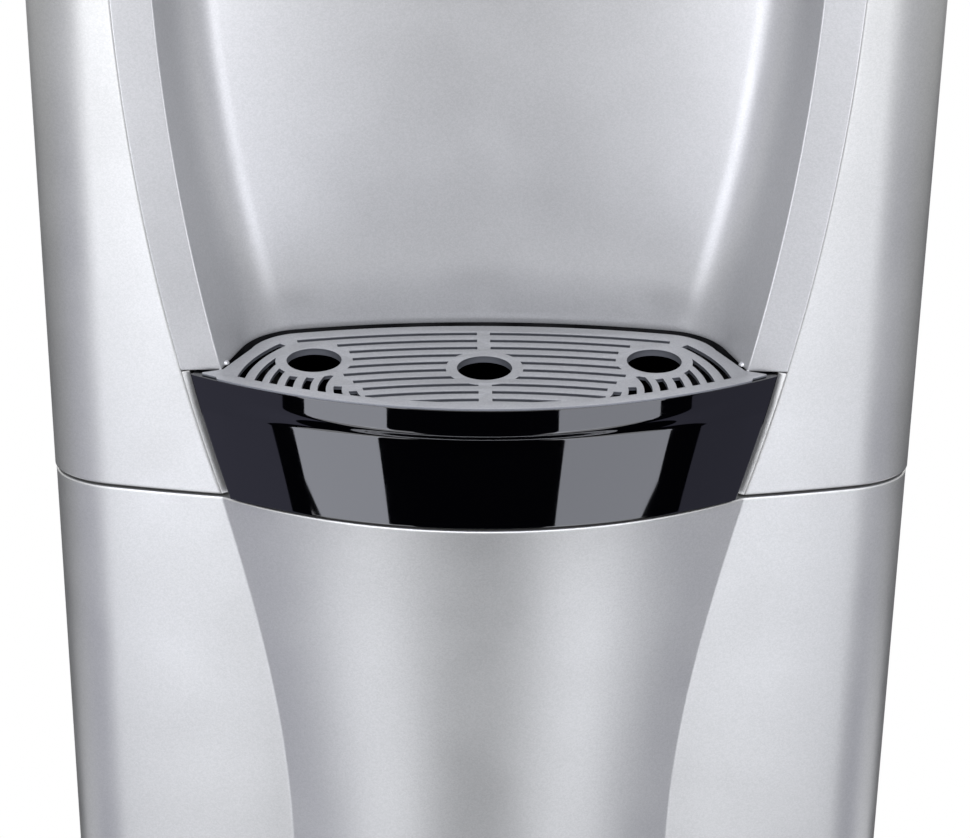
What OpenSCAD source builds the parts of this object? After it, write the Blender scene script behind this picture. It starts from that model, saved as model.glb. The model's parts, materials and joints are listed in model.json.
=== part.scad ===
// Floor-standing water cooler with a storage cabinet, a drip tray and a push-button head.
// Millimetres, +Z up, front towards -Y, origin on the floor under the middle of the body.

/* [Overall] */
// Width over the side panels
body_w = 312.6; // [300:0.2:324]
// Depth from the crown of the front face to the back panel
body_d = 297; // [290:1:320]
// Height of the parting line between the door and the upper front
seam_z = 552; // [540:1:580]
// Height of the rubber feet
foot_h = 12; // [8:1:18]
// Height of the base above the feet
base_h = 28; // [24:1:36]
// Thickness of the moulded walls
wall = 3; // [2.6:0.1:3.4]
// Thickness of the steel sheet
sheet = 1; // [0.8:0.1:1.2]
// Clearance between fitted pieces
fit = 0.3; // [0.2:0.05:0.4]
// Width of the parting gap above the door
seam_gap = 1.2; // [0.8:0.1:1.8]

/* [Front] */
// Radius of the front face in plan
front_r = 650; // [600:5:720]
// Radius of the upright front corners
corner_r = 17; // [14:0.5:20]
// Depth of the front mouldings behind the crown of the face
front_d = 56.5; // [55:0.5:60]
// Widest width of the flared mouth of the recess
mouth_w = 253.4; // [248:0.2:258]
// Height of that widest place above the grille
mouth_rise = 172; // [164:1:180]
// Radius of the flared mouth edges
mouth_r = 755; // [720:5:800]

/* [Recess] */
// Clear height from the grille to the head
cup_h = 205; // [180:1:230]
// Width of the chamfered band round the recess
band_w = 13.8; // [12:0.2:15]
// Depth of the chamfered band
band_d = 1.8; // [1.4:0.1:3]
// Depth of the recess at the middle, behind the crown of the face
recess_d = 50.3; // [49:0.1:52]
// Radius of the back of the recess
recess_r = 345; // [320:5:370]
// Radius of the corners at the back of the recess
recess_corner_r = 24; // [21:0.5:28]
// Inward lean of the sides of the recess in plan, degrees
recess_lean = 20; // [17:0.5:22]
// Wall of the recess moulding
recess_wall = 2.5; // [2:0.1:3]
// Radius of the small moulded stops low in the corners of the recess
stop_r = 1.6; // [1.2:0.1:2]

/* [Drip tray] */
// Height of the grille's top face above the parting line
grille_rise = 48; // [46:0.5:52]
// Front radius of the tray and grille
bow_r = 200.7; // [190:0.5:210]
// How far the tray stands proud of the face at the middle
bow_proud = 21.3; // [19:0.1:23]
// Draft of the tray front from top to bottom
tray_draft = 2.7; // [1:0.1:3.5]
// Wall of the tray
tray_wall = 4; // [3.6:0.1:4.5]
// Height of the tray floor's underside above the parting line
tray_floor_rise = 8.8; // [8.5:0.1:12]
// Height of the gripping lip along the top of the tray
lip_h = 11.8; // [10:0.1:14]
// Depth of the finger scoop under the lip
scoop_d = 2.2; // [1.5:0.1:2.6]
// Radius of the finger scoop in plan
scoop_r = 330; // [300:5:380]
// Width of the trim beside the tray
jamb_w = 2.3; // [2:0.1:3]
// Depth of that trim
jamb_d = 6; // [5:0.1:6.2]
// Depth of the slant across the face of the trims
jamb_slant_d = 3.6; // [2.4:0.1:4]
// Clearance of the tray in its trim
tray_fit = 0.7; // [0.5:0.05:1]

/* [Drip grille] */
// Thickness of the grille plate
grille_t = 2.5; // [2:0.1:3]
// Gap between the grille and the back of the recess
grille_gap = 2.8; // [2.5:0.1:4]
// Half width of the grille at its front tips
grille_tip = 99.9; // [97:0.1:101]
// Half width of the part of the grille that lies flush with the tray's front
grille_flush = 93.6; // [90:0.1:95]
// Set-back of the tips behind the tray's front
tip_back = 1.3; // [0.8:0.1:2]
// Thickness of the grille's flange over the rim of the tray
flange_t = 0.7; // [0.6:0.1:1.2]
// Radius of the three round holes
hole_r = 9.75; // [8.5:0.05:10.5]
// Spacing of the three holes
hole_pitch = 60.35; // [58:0.05:63]
// Set-back of the middle hole behind the crown of the face
hole_y = 11.4; // [10:0.1:13]
// Extra set-back of the outer holes
hole_back = 6; // [4:0.1:8]
// Radius of the plain ring round each hole
ring_r = 14.2; // [13.5:0.1:15]
// Width of the long slots
slot_w = 2.2; // [1.8:0.1:2.6]
// Pitch of the long slots
slot_pitch = 6; // [5.8:0.05:6.2]
// Number of long slots on each side
slot_n = 10; // [8:1:10]
// Radius of the rearmost long slot
slot_r = 330; // [310:5:350]
// How much the radius shrinks from slot to slot
slot_r_step = 12.5; // [10:0.5:14]
// Width of the bar down the middle of the grille
spine_w = 4.7; // [4:0.1:6]
// Width of the curved corner slots
fan_slot_w = 2.9; // [2.6:0.1:3.6]
// Pitch of the curved corner slots
fan_pitch = 5.5; // [5.2:0.1:6]
// Number of curved corner slots
fan_n = 8; // [5:1:8]
// Radius of the outermost corner slot
fan_r = 53; // [50:0.5:54]
// Plain margin along the front edge of the grille
grille_margin = 4.9; // [4:0.1:6]

/* [Door] */
// Radius of the column on the door at its waist
column_r = 176.4; // [174:0.2:179]
// Set-back of the column's axis behind the crown of the face
column_y = 165.2; // [163:0.2:168]
// Height of the waist below the parting line
waist_drop = 155; // [140:1:170]
// Radius of the column's flare above the waist
flare_r = 1540; // [1450:10:1700]
// Gap between the door and the cabinet behind it
door_gap = 2; // [1.8:0.1:2.6]
// Gap between the door and the base
door_lift = 4; // [3:0.1:6]
// Set-in of the hinge axis from the side
hinge_in = 11.5; // [11:0.1:13]
// Distance of the hinge axis in front of the back of the door
hinge_fwd = 12; // [11.5:0.1:13]
// Radius of the hinge pins
pin_r = 3; // [2.5:0.1:3.5]
// Running clearance of the hinge pins
pin_fit = 0.06; // [0.04:0.01:0.1]
// Height of the finger pocket in the edge of the door
pocket_h = 110; // [90:1:140]
// Depth of the finger pocket from the back of the door
pocket_d = 14; // [12:0.5:16]
// Reach of the finger pocket into the door
pocket_in = 10; // [8:0.5:14]

/* [Head] */
// Height of the push-button head
head_h = 103; // [96:1:116]
// Radius of the head in plan
head_r = 262; // [250:1:280]
// Height of the front panel's brow above the head
brow_h = 24; // [18:1:36]
// Width of a push button
button_w = 36; // [30:0.5:42]
// Height of a push button
button_h = 30; // [26:0.5:34]
// How far a button stands proud of the head
button_proud = 2; // [1.5:0.1:3]
// Travel of a button
button_travel = 4; // [3:0.5:5]
// Height of the buttons above the underside of the head
button_rise = 54; // [50:0.5:58]
// Radius of the valve bodies
valve_r = 12; // [11:0.5:13]
// Radius of the nozzles
nozzle_r = 7; // [6:0.5:8]
// Reach of the nozzles below the head
nozzle_drop = 15; // [10:0.5:20]
// Radius of the indicator lenses
lens_r = 2.5; // [2:0.1:3]
// Travel of the child lock
lock_travel = 6; // [4:0.5:8]

/* [Top] */
// Height of the top cover
cover_h = 32; // [28:1:40]
// How far the bottle collar stands above the top cover
collar_rise = 36; // [30:1:44]
// Radius of the bottle collar's rim
collar_r = 118; // [112:0.5:122]
// Radius of the neck seat at the bottom of the collar
neck_r = 34; // [32:0.5:38]
// Radius of the feed probe
probe_r = 13; // [11:0.5:15]

/* [Inside] */
// Height of the compressor bay above the base
bay_h = 222; // [210:1:240]
// Depth of the cabinet in front of the compressor bay
cabinet_d = 100; // [96:0.5:104]
// Depth of the channel behind the upper cabinet
channel_d = 47; // [44:0.5:54]
// Height of the shelf above the base
shelf_rise = 360; // [340:1:380]
// Radius of the cold tank
cold_r = 75; // [70:0.5:78]
// Height of the cold tank
cold_h = 176; // [160:1:182]
// Outer radius of the cold tank's insulation
cold_foam_r = 100; // [98:0.5:104]
// Radius of the hot tank
hot_r = 50; // [46:0.5:54]
// Height of the hot tank
hot_h = 118; // [100:1:122]
// Radius of the compressor shell
compressor_r = 56; // [50:0.5:60]
// Height of the compressor
compressor_h = 150; // [130:1:165]
// Bore radius of the water hoses
hose_bore = 3; // [2.5:0.1:3.5]
// Outer radius of the water hoses
hose_r = 5; // [4.5:0.1:5.5]
// Radius of the refrigerant pipes
pipe_r = 2.5; // [2:0.1:3]
// Radius of the condenser's cross wires
wire_r = 0.8; // [0.6:0.05:1]
// Number of runs in the condenser
run_n = 12; // [8:1:14]
// Pitch of the condenser's runs
run_pitch = 44; // [40:0.5:46]

/* [Hidden] */
$fn = 96;

// Heights
base_z = foot_h + base_h;
door_z = base_z + door_lift;
door_top = seam_z - seam_gap / 2;
panel_z = seam_z + seam_gap / 2;
grille_z = seam_z + grille_rise;
head_z = grille_z + cup_h;
head_top = head_z + head_h;
cover_z = head_top + brow_h;
cover_top = cover_z + cover_h;
top_z = cover_top + collar_rise;
mouth_z = grille_z + mouth_rise;
tray_top = grille_z - flange_t - fit / 3;
basin_top = grille_z - grille_t - fit / 3;
tray_floor = seam_z + tray_floor_rise;
lip_z = tray_top - lip_h;

// Plan places
half_w = body_w / 2;
front_y = -body_d / 2;
back_y = body_d / 2;
part_y = front_y + front_d;
door_back = part_y - door_gap + sheet / 2;
frame_y = part_y + sheet / 2;
face_cy = front_y + front_r;
corner_x = half_w - corner_r;
corner_y = face_cy - sqrt(pow(front_r - corner_r, 2) - pow(corner_x, 2));
corner_a = atan2(corner_y - face_cy, corner_x);
bow_y = front_y - bow_proud;
bow_cy = bow_y + bow_r;
hole_cy = front_y + hole_y;
spouts = [[-hole_pitch, hole_cy + hole_back], [0, hole_cy], [hole_pitch, hole_cy + hole_back]];
recess_y = front_y + recess_d;
recess_cy = recess_y - recess_r;
inner_w = half_w - sheet - fit;
inner_y = back_y - 2 * sheet;

// Points on an arc about c, both ends included, and the same without its ends
function arc(c, r, a0, a1, n) = [for (i = [0:n]) c + r * [cos(a0 + (a1 - a0) * i / n),
    sin(a0 + (a1 - a0) * i / n)]];
function arc_between(c, r, a0, a1, n) = [for (i = [1:n - 1]) c + r * [cos(a0 + (a1 - a0) * i / n),
    sin(a0 + (a1 - a0) * i / n)]];
function mirrored(pts) = [for (i = [len(pts) - 1:-1:0]) [-pts[i].x, pts[i].y]];
function unit(v) = v / norm(v);
// Arc of radius r that eases the turn at p on the way from a to c
function eased(a, p, c, r, n) = let (
    u = unit(a - p),
    v = unit(c - p),
    half = acos(u * v) / 2,
    m = p + unit(u + v) * r / sin(half),
    from = p + u * r / tan(half) - m,
    to = p + v * r / tan(half) - m,
    a0 = atan2(from.y, from.x),
    turn = atan2(to.y, to.x) - a0)
    arc(m, r, a0, a0 + (turn > 180 ? turn - 360 : turn < -180 ? turn + 360 : turn), n);

// Half width of the flared mouth at height z, and the face's place in plan at x
function mouth_x(z, inset) = mouth_w / 2 - mouth_r + sqrt(pow(mouth_r - inset, 2) - pow(z - mouth_z, 2));
function face_y(x) = face_cy - sqrt(pow(front_r, 2) - pow(x, 2));

// Plan of the body: bowed front, rounded corners, straight sides back to y_end
function plan_points(inset, y_end) = concat(
    arc([-corner_x, corner_y], corner_r - inset, 180, 180 - corner_a, 8),
    arc_between([0, face_cy], front_r - inset, 180 - corner_a, 360 + corner_a, 32),
    arc([corner_x, corner_y], corner_r - inset, 360 + corner_a, 360, 8),
    [[half_w - inset, y_end], [inset - half_w, y_end]]);

module plan_prism(inset, y_end, z0, z1) {
    translate([0, 0, z0]) linear_extrude(z1 - z0) polygon(plan_points(inset, y_end));
}

// A prism along Y of a shape drawn in the front view
module front_prism(y0, y1) {
    translate([0, y1, 0]) rotate([90, 0, 0]) linear_extrude(y1 - y0) children();
}

// A prism along X of a shape drawn in the side view, with Y to the right
module side_prism(x0, x1) {
    translate([x0, 0, 0]) rotate([90, 0, 90]) linear_extrude(x1 - x0) children();
}

module block(x0, x1, y0, y1, z0, z1) {
    translate([x0, y0, z0]) cube([x1 - x0, y1 - y0, z1 - z0]);
}

module rod_y(x, z, r, y0, y1) {
    translate([x, y1, z]) rotate([90, 0, 0]) cylinder(r = r, h = y1 - y0);
}

// The mouth seen from the front, between two heights
module mouth_shape(inset, z0, z1) {
    intersection() {
        translate([mouth_w / 2 - mouth_r, mouth_z]) circle(mouth_r - inset, $fn = 240);
        translate([mouth_r - mouth_w / 2, mouth_z]) circle(mouth_r - inset, $fn = 240);
        translate([-body_w, z0]) square([2 * body_w, z1 - z0]);
    }
}

// Recess in plan at height z: corner centre by distance from the leaning side and the back arc
side_u = [-sin(recess_lean), cos(recess_lean)];
side_n = [-cos(recess_lean), -sin(recess_lean)];
function band_outer(z) = let (x = mouth_x(z, fit)) [x, face_y(x)];
function band_inner(z) = band_outer(z) + [-band_w, band_d];
function recess_corner(z) = let (
    q = band_inner(z) + recess_corner_r * side_n - [0, recess_cy],
    b = q * side_u,
    c = q * q - pow(recess_r - recess_corner_r, 2)) q + [0, recess_cy] + (sqrt(b * b - c) - b) * side_u;
// Right half of the recess from the front of its side to the middle of its back, grown by off
function recess_half(z, off) = let (
    q = recess_corner(z),
    a = atan2(q.y - recess_cy, q.x)) concat(
    [band_inner(z) - off * side_n],
    arc(q, recess_corner_r + off, recess_lean, a, 8),
    arc_between([0, recess_cy], recess_r + off, a, 90, 6));
function recess_back(off) = [0, recess_y + off];

// Tube swept along points, its rings carried from point to point
function rings_normal(p, n0) = [for (i = 0, n = n0; i < len(p);
    i = i + 1, n = i < len(p) ? unit(n - (n * path_dir(p, i)) * path_dir(p, i)) : n) n];
function path_dir(p, i) = unit(p[min(i + 1, len(p) - 1)] - p[max(i - 1, 0)]);
function any_normal(t) = unit(cross(t, abs(t.z) < 0.8 ? [0, 0, 1] : [1, 0, 0]));
// Corner cutting that rounds a route, ends kept
function rounded(p, times) = times == 0 ? p : rounded(concat([p[0]],
    [for (i = [0:len(p) - 2], s = [0.25, 0.75])
        if (!(i == 0 && s == 0.25) && !(i == len(p) - 2 && s == 0.75)) p[i] + s * (p[i + 1] - p[i])],
    [p[len(p) - 1]]), times - 1);

module tube(p, r, sides = 8) {
    normals = rings_normal(p, any_normal(path_dir(p, 0)));
    n = len(p);
    pts = [for (i = [0:n - 1], k = [0:sides - 1]) let (t = path_dir(p, i), u = normals[i], v = cross(t, u))
        p[i] + r * (cos(360 * k / sides) * u + sin(360 * k / sides) * v)];
    skin = [for (i = [0:n - 2], k = [0:sides - 1]) let (a = i * sides + k, b = i * sides + (k + 1) % sides)
        each [[a, a + sides, b], [b, a + sides, b + sides]]];
    start = [for (k = [1:sides - 2]) [0, k, k + 1]];
    end = [for (k = [1:sides - 2]) [(n - 1) * sides, (n - 1) * sides + k + 1, (n - 1) * sides + k]];
    polyhedron(pts, concat(skin, start, end));
}

// Base, feet and outer sheet
foot_r = 20;
foot_in = 38;
foot_places = [for (x = [-1, 1], y = [front_y + foot_in + 8, back_y - foot_in])
    [x * (half_w - foot_in), y]];

module base() {
    color("dimgray") difference() {
        plan_prism(0, back_y, foot_h, base_z);
        difference() {
            plan_prism(wall, back_y - wall, foot_h - 1, base_z - wall);
            for (p = foot_places) translate([p.x, p.y, 0]) cylinder(r = foot_r - 2, h = base_z);
        }
        translate([hinge_x, hinge_y, base_z - wall - 1]) cylinder(r = pin_r, h = wall + 2);
    }
}

module feet() {
    color("black") for (p = foot_places) translate([p.x, p.y, 0]) rotate_extrude()
        polygon([[0, 0], [foot_r - 1.5, 0], [foot_r, 1.5], [foot_r - 2, foot_h], [0, foot_h]]);
}

flange = 12;
// A steel side with its front and rear edges folded inwards
module side_panel() {
    difference() {
        translate([0, 0, base_z]) linear_extrude(cover_z - base_z) polygon([
            [half_w - flange, frame_y], [half_w, frame_y], [half_w, inner_y + sheet],
            [half_w - flange, inner_y + sheet], [half_w - flange, inner_y], [half_w - sheet, inner_y],
            [half_w - sheet, frame_y + sheet], [half_w - flange, frame_y + sheet]]);
        for (p = back_screw_places) rod_y(p[0], p[1], screw_r + fit / 3, inner_y - 5, back_y);
    }
}

module right_side_panel() {
    color("silver") side_panel();
}

module left_side_panel() {
    color("silver") mirror([1, 0, 0]) side_panel();
}

bay_z = base_z + bay_h;
vent_n = 7;
vent_xs = [-95, -20];
vent_w = 60;
vent_h = 4;
vent_pitch = 12;
switch_x = 70;
switch_z = cover_z - 60;
switch_w = 30;
switch_h = 46;
inlet_x = -70;
inlet_w = 28;
inlet_h = 22;
inlet_z = bay_z + 16;
drain_z = inlet_z;
drain_xs = [44, 80];
drain_r = 9;
screw_r = 1.6;
back_screw_places = [for (x = [-1, 1], z = [bay_z + 12, (bay_z + cover_z) / 2, cover_z - 14])
    [x * (half_w - 7), z]];

module back_panel() {
    color("gainsboro") difference() {
        block(fit - half_w, half_w - fit, back_y - sheet, back_y, bay_z, cover_z - fit);
        for (x = vent_xs, k = [0:vent_n - 1])
            block(x - vent_w / 2, x + vent_w / 2, back_y - 5, back_y + 5,
                cover_z - 30 - k * vent_pitch, cover_z - 30 - k * vent_pitch + vent_h);
        block(switch_x - switch_w / 2 - fit, switch_x + switch_w / 2 + fit, back_y - 5, back_y + 5,
            switch_z - switch_h / 2 - fit, switch_z + switch_h / 2 + fit);
        block(inlet_x - inlet_w / 2 - fit, inlet_x + inlet_w / 2 + fit, back_y - 5, back_y + 5,
            inlet_z - inlet_h / 2 - fit, inlet_z + inlet_h / 2 + fit);
        for (x = drain_xs) rod_y(x, drain_z, drain_r + fit, back_y - 5, back_y + 5);
        for (p = back_screw_places) rod_y(p[0], p[1], screw_r + fit / 3, back_y - 5, back_y + 5);
    }
}

// Upper front: a shell of the body's plan, open where the flared mouth is
module front_panel() {
    color("silver") difference() {
        plan_prism(0, part_y, panel_z, cover_z);
        plan_prism(wall, part_y + 1, panel_z - 1, cover_z + 1);
        front_prism(front_y - 60, part_y + 10) mouth_shape(0, panel_z - 2, head_top);
    }
}

// Recess moulding: rows of plan points from the grille up to the head, lofted
recess_rows = 12;
function recess_top() = head_z - fit;
function recess_z(j) = grille_z + (recess_top() - grille_z) * j / (recess_rows - 1);
function seen_half(z) = concat([band_outer(z)], recess_half(z, 0));
function hidden_half(z) = concat([band_outer(z) + [0, recess_wall]],
    [band_inner(z) + recess_wall * unit([0.5, 1])],
    [for (i = [1:len(recess_half(z, 0)) - 1]) recess_half(z, recess_wall)[i]]);
function seen_row(z) = concat(seen_half(z), [recess_back(0)], mirrored(seen_half(z)));
function hidden_row(z) = concat(hidden_half(z), [recess_back(recess_wall)], mirrored(hidden_half(z)));

module recess_panel() {
    seen = [for (j = [0:recess_rows - 1]) seen_row(recess_z(j))];
    hidden = [for (j = [0:recess_rows - 1]) hidden_row(recess_z(j))];
    n = len(seen[0]);
    size = n * recess_rows;
    pts = concat(
        [for (j = [0:recess_rows - 1], p = seen[j]) [p.x, p.y, recess_z(j)]],
        [for (j = [0:recess_rows - 1], p = hidden[j]) [p.x, p.y, recess_z(j)]]);
    // Two triangles for the four corners of a patch
    function patch(a, b, c, d) = [[a, b, c], [a, c, d]];
    walls = [for (j = [0:recess_rows - 2], i = [0:n - 2]) let (a = j * n + i) each concat(
        patch(a, a + n, a + n + 1, a + 1), patch(size + a, size + a + 1, size + a + n + 1, size + a + n))];
    last = (recess_rows - 1) * n;
    rims = [for (i = [0:n - 2]) each concat(patch(i, i + 1, size + i + 1, size + i),
        patch(last + i, size + last + i, size + last + i + 1, last + i + 1))];
    ends = [for (j = [0:recess_rows - 2]) let (a = j * n, b = a + n - 1) each concat(
        patch(a, size + a, size + a + n, a + n), patch(b, b + n, size + b + n, size + b))];
    color("lightgray") {
        polyhedron(pts, concat(walls, rims, ends));
        for (side = [-1, 1]) translate([side * stop_at.x, stop_at.y, grille_z])
            cylinder(r1 = stop_r, r2 = stop_r * 0.6, h = stop_r * 0.8, $fn = 24);
    }
}
stop_at = band_inner(grille_z) + 3 * stop_r * side_u - stop_r / 3 * side_n;

// Trims that carry the edge of the band down beside the tray, their faces slanted inwards
module jamb_slant() {
    hull() for (z = [panel_z - 1, grille_z]) let (x = mouth_x(z, fit), y = face_y(x))
        translate([0, 0, z]) linear_extrude(1) polygon([[x, y], [x, y - jamb_d],
            [x - 2 * jamb_w, y - jamb_d], [x - 2 * jamb_w, y + 2 * jamb_slant_d]]);
}
module jamb_trims() {
    color("lightgray") for (side = [0, 1]) mirror([side, 0, 0]) difference() {
        jamb_ring();
        jamb_slant();
        translate([-half_w, front_y - jamb_d, 0]) cube([half_w, 2 * half_w, grille_z]);
    }
}
module jamb_ring() {
    intersection() {
        front_prism(front_y - 60, part_y) difference() {
            mouth_shape(fit, panel_z, grille_z - fit);
            mouth_shape(fit + jamb_w, panel_z - 1, grille_z + 1);
        }
        difference() {
            plan_prism(0, part_y, panel_z, grille_z);
            plan_prism(jamb_d, part_y + 1, panel_z - 1, grille_z + 1);
        }
    }
}

// Well that the tray slides into, under the recess
well_floor = tray_floor - fit;
function well_points(off) = let (half = recess_half(grille_z, off)) concat(half, [recess_back(off)],
    mirrored(half));

module tray_well() {
    color("dimgray") difference() {
        union() {
            translate([0, 0, well_floor - wall]) linear_extrude(grille_z - fit - well_floor + wall)
                polygon(well_points(recess_wall));
            intersection() {
                block(-well_half, well_half, bow_y, band_inner(grille_z).y + 6, well_floor - wall,
                    well_floor);
                translate([0, bow_cy, 0])
                    cylinder(r = front_inner_r - 4, h = grille_z, $fn = 240);
            }
            block(-corner_x, corner_x, recess_y - wall, part_y - wall + 12, well_floor - wall, well_floor);
        }
        translate([0, 0, well_floor]) linear_extrude(grille_rise) polygon(well_points(0));
        block(-half_w, half_w, bow_y, well_front, well_floor, grille_z + 1);
        for (side = [0, 1]) mirror([side, 0, 0])
            block(well_half, half_w, bow_y, well_front, well_floor - wall - 1, grille_z);
    }
}
well_half = mouth_x(well_floor - wall, 0) - jamb_w - 4;
well_front = face_y(mouth_x(grille_z, 0)) + jamb_d + fit;

// Drip tray: turned front with a lip and a finger scoop, and a basin behind it
front_inner_r = bow_r - tray_draft - tray_wall;
function tray_profile(inset) = [
    [bow_r - tray_draft - inset, panel_z], [bow_r - tray_draft * 0.35 - inset, lip_z],
    [bow_r - inset, tray_top]];

module bow_solid(inset, z0, z1) {
    translate([0, bow_cy, 0]) rotate_extrude($fn = 240) intersection() {
        polygon(concat([[0, panel_z]], tray_profile(inset), [[0, tray_top]]));
        translate([0, z0]) square([bow_r, z1 - z0]);
    }
}

module tray_front() {
    intersection() {
        difference() {
            bow_solid(0, panel_z, tray_top);
            translate([0, bow_cy, 0]) cylinder(r = front_inner_r, h = grille_z, $fn = 240);
            finger_scoop();
        }
        front_prism(bow_y - 10, front_y + 30) mouth_shape(fit + jamb_w + tray_fit, panel_z, tray_top);
    }
}

module finger_scoop() {
    lean = atan2(scoop_d, lip_z - panel_z);
    translate([0, bow_y + scoop_d, lip_z]) rotate([-lean, 0, 0]) difference() {
        translate([-grille_tip, -scoop_r / 3, panel_z - lip_z - 10])
            cube([2 * grille_tip, scoop_r / 2, lip_z - panel_z + 10]);
        translate([0, scoop_r, panel_z - lip_z - 11])
            cylinder(r = scoop_r, h = lip_z - panel_z + 12, $fn = 240);
    }
}

module drip_tray() {
    basin_off = -grille_gap - 1.2;
    color([0.03, 0.03, 0.035]) difference() {
        union() {
            tray_front();
            intersection() {
                translate([0, 0, tray_floor]) linear_extrude(basin_top - tray_floor)
                    polygon(basin_points(basin_off));
                bow_solid(tray_wall / 2, tray_floor, basin_top);
            }
        }
        intersection() {
            translate([0, 0, tray_floor + wall]) linear_extrude(grille_rise)
                polygon(basin_points(basin_off - 2));
            translate([0, bow_cy, 0])
                cylinder(r = front_inner_r - 1, h = grille_z + 1, $fn = 240);
        }
    }
}
// Plan of the basin, its sides carried forward into the tray's front
function basin_points(off) = let (half = recess_half(grille_z, off)) concat(
    [half[0] - 30 * side_u], half, [recess_back(off)], mirrored(half), [mirrored(half)[len(half) - 1]
    - 30 * [-side_u.x, side_u.y]]);

// Drip grille: plate with three holes, long bowed slots and fans of corner slots
tip_r = bow_r - tip_back;
tip = [grille_tip, bow_cy - sqrt(pow(tip_r, 2) - pow(grille_tip, 2))];
neck = tip + [-7.9, 2.9];
tip_ease = 0.5;
neck_ease = 2;
// Right end of the grille from its flush front round the tip and the neck to the middle of its back
function grille_end() = let (
    half = recess_half(grille_z, -grille_gap),
    edge = arc([0, bow_cy], tip_r, -acos((grille_flush + tip_ease) / tip_r),
        -acos((grille_tip - 2 * tip_ease) / tip_r), 2)) concat(
    edge, eased(edge[2], tip, neck, tip_ease, 3), eased(tip, neck, half[1], neck_ease, 4),
    [for (i = [1:len(half) - 1]) half[i]]);
function grille_points() = let (a = acos(grille_flush / bow_r)) concat(
    grille_end(), [recess_back(-grille_gap)], mirrored(grille_end()),
    arc([0, bow_cy], bow_r, 180 + a, 360 - a, 40));
fan_c = [33, hole_cy - 17];
fan_edge = 45.5;
web = 2.4;
divide = [[49, hole_cy - 5], [41, hole_cy - 22]];

module ring_band(c, r, w) {
    translate(c) difference() {
        circle(r + w / 2, $fn = 240);
        circle(r - w / 2, $fn = 240);
    }
}

// Where the long slots may run on the right half, and where the corner slots may
module slot_field() {
    polygon([[spine_w / 2, hole_cy - 60], [divide[1].x - 12, hole_cy - 60], divide[1], divide[0],
        fan_c + 34 * [cos(fan_edge), sin(fan_edge)] + [-web, 0],
        fan_c + 70 * [cos(fan_edge), sin(fan_edge)] + [-web, 0], [spine_w / 2, hole_cy + 60]]);
}

module fan_field() {
    polygon([divide[1] + [web + 1, -4], [grille_tip, hole_cy - 26], [grille_tip, hole_cy + 10],
        fan_c + 70 * [cos(fan_edge - 3), sin(fan_edge - 3)],
        fan_c + 30 * [cos(fan_edge - 3), sin(fan_edge - 3)],
        divide[0] + [web + 1, 0]]);
}

module slots_right() {
    first = 28.5;
    intersection() {
        union() {
            intersection() {
                union() for (k = [0:slot_n - 1])
                    ring_band([0, hole_cy + first - k * slot_pitch - slot_r + k * slot_r_step],
                        slot_r - k * slot_r_step, slot_w);
                slot_field();
            }
            intersection() {
                union() for (k = [0:fan_n - 1]) ring_band(fan_c, fan_r - k * fan_pitch, fan_slot_w);
                fan_field();
            }
        }
        translate([0, bow_cy]) circle(bow_r - grille_margin, $fn = 240);
    }
}

module grille_plan() {
    difference() {
        polygon(grille_points());
        for (side = [0, 1]) mirror([side, 0]) difference() {
            slots_right();
            for (p = spouts) translate(p) circle(ring_r);
        }
        for (p = spouts) translate(p) circle(hole_r);
    }
}

// The plate hangs inside the tray, and its flange rests on the rim
module drip_grille() {
    color([0.6, 0.6, 0.63]) {
        translate([0, 0, grille_z - flange_t]) linear_extrude(flange_t) grille_plan();
        translate([0, 0, grille_z - grille_t]) linear_extrude(grille_t) intersection() {
            grille_plan();
            translate([0, bow_cy]) circle(front_inner_r - fit, $fn = 240);
        }
    }
}

// Door: the body's plan with a waisted column in front, hollow
hinge_x = half_w - hinge_in;
hinge_y = door_back - hinge_fwd;
waist_z = seam_z - waist_drop;
column_cy = front_y + column_y;
flare_n = 10;
function column_profile(inset) = concat([[column_r - inset, base_z]], [for (i = [0:flare_n])
    let (z = waist_z + (seam_z - waist_z) * i / flare_n)
    [column_r - inset + pow(z - waist_z, 2) / (2 * flare_r), z]]);

module column(inset, z0, z1) {
    intersection() {
        translate([0, column_cy, 0]) rotate_extrude($fn = 240)
            polygon(concat([[0, base_z]], column_profile(inset), [[0, seam_z]]));
        block(-half_w + corner_r, half_w - corner_r, bow_y - 20, part_y + 5, z0, z1);
    }
}

module door_form(inset, z0, z1, y_end) {
    plan_prism(inset, y_end, z0, z1);
    intersection() {
        column(inset, z0, z1);
        block(-half_w, half_w, bow_y - 20, y_end, z0, z1);
    }
}

// Keeps the rear corner on the hinge side within the swing of the hinge
module hinge_rounding(r) {
    difference() {
        block(hinge_x, half_w + 1, hinge_y, part_y + 1, base_z, seam_z);
        translate([hinge_x, hinge_y, base_z - 1]) cylinder(r = r, h = seam_z - base_z + 2);
    }
}

liner_t = 2.5;
pocket_z = (door_z + door_top) / 2 + 60;
skin_back = door_back - liner_t - fit / 3;

module door_skin() {
    color("silver") difference() {
        door_form(0, door_z, door_top, skin_back);
        difference() {
            door_form(wall, door_z + wall, door_top - wall, skin_back + 1);
            for (z = [door_z, door_top - 14]) translate([hinge_x, hinge_y, z])
                cylinder(r = pin_r + 4, h = 14);
            finger_pocket(wall);
        }
        hinge_rounding(hinge_in);
        for (z = [door_z - 1, door_top - 15]) translate([hinge_x, hinge_y, z])
            cylinder(r = pin_r + pin_fit, h = 16);
        finger_pocket(0);
    }
}

// Pocket in the free edge of the door, and the moulded cup round it
module finger_pocket(grow) {
    block(-half_w - 1, pocket_in + grow - half_w, skin_back - pocket_d - grow, door_back + 1,
        pocket_z - grow, pocket_z + pocket_h + grow);
}

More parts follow.
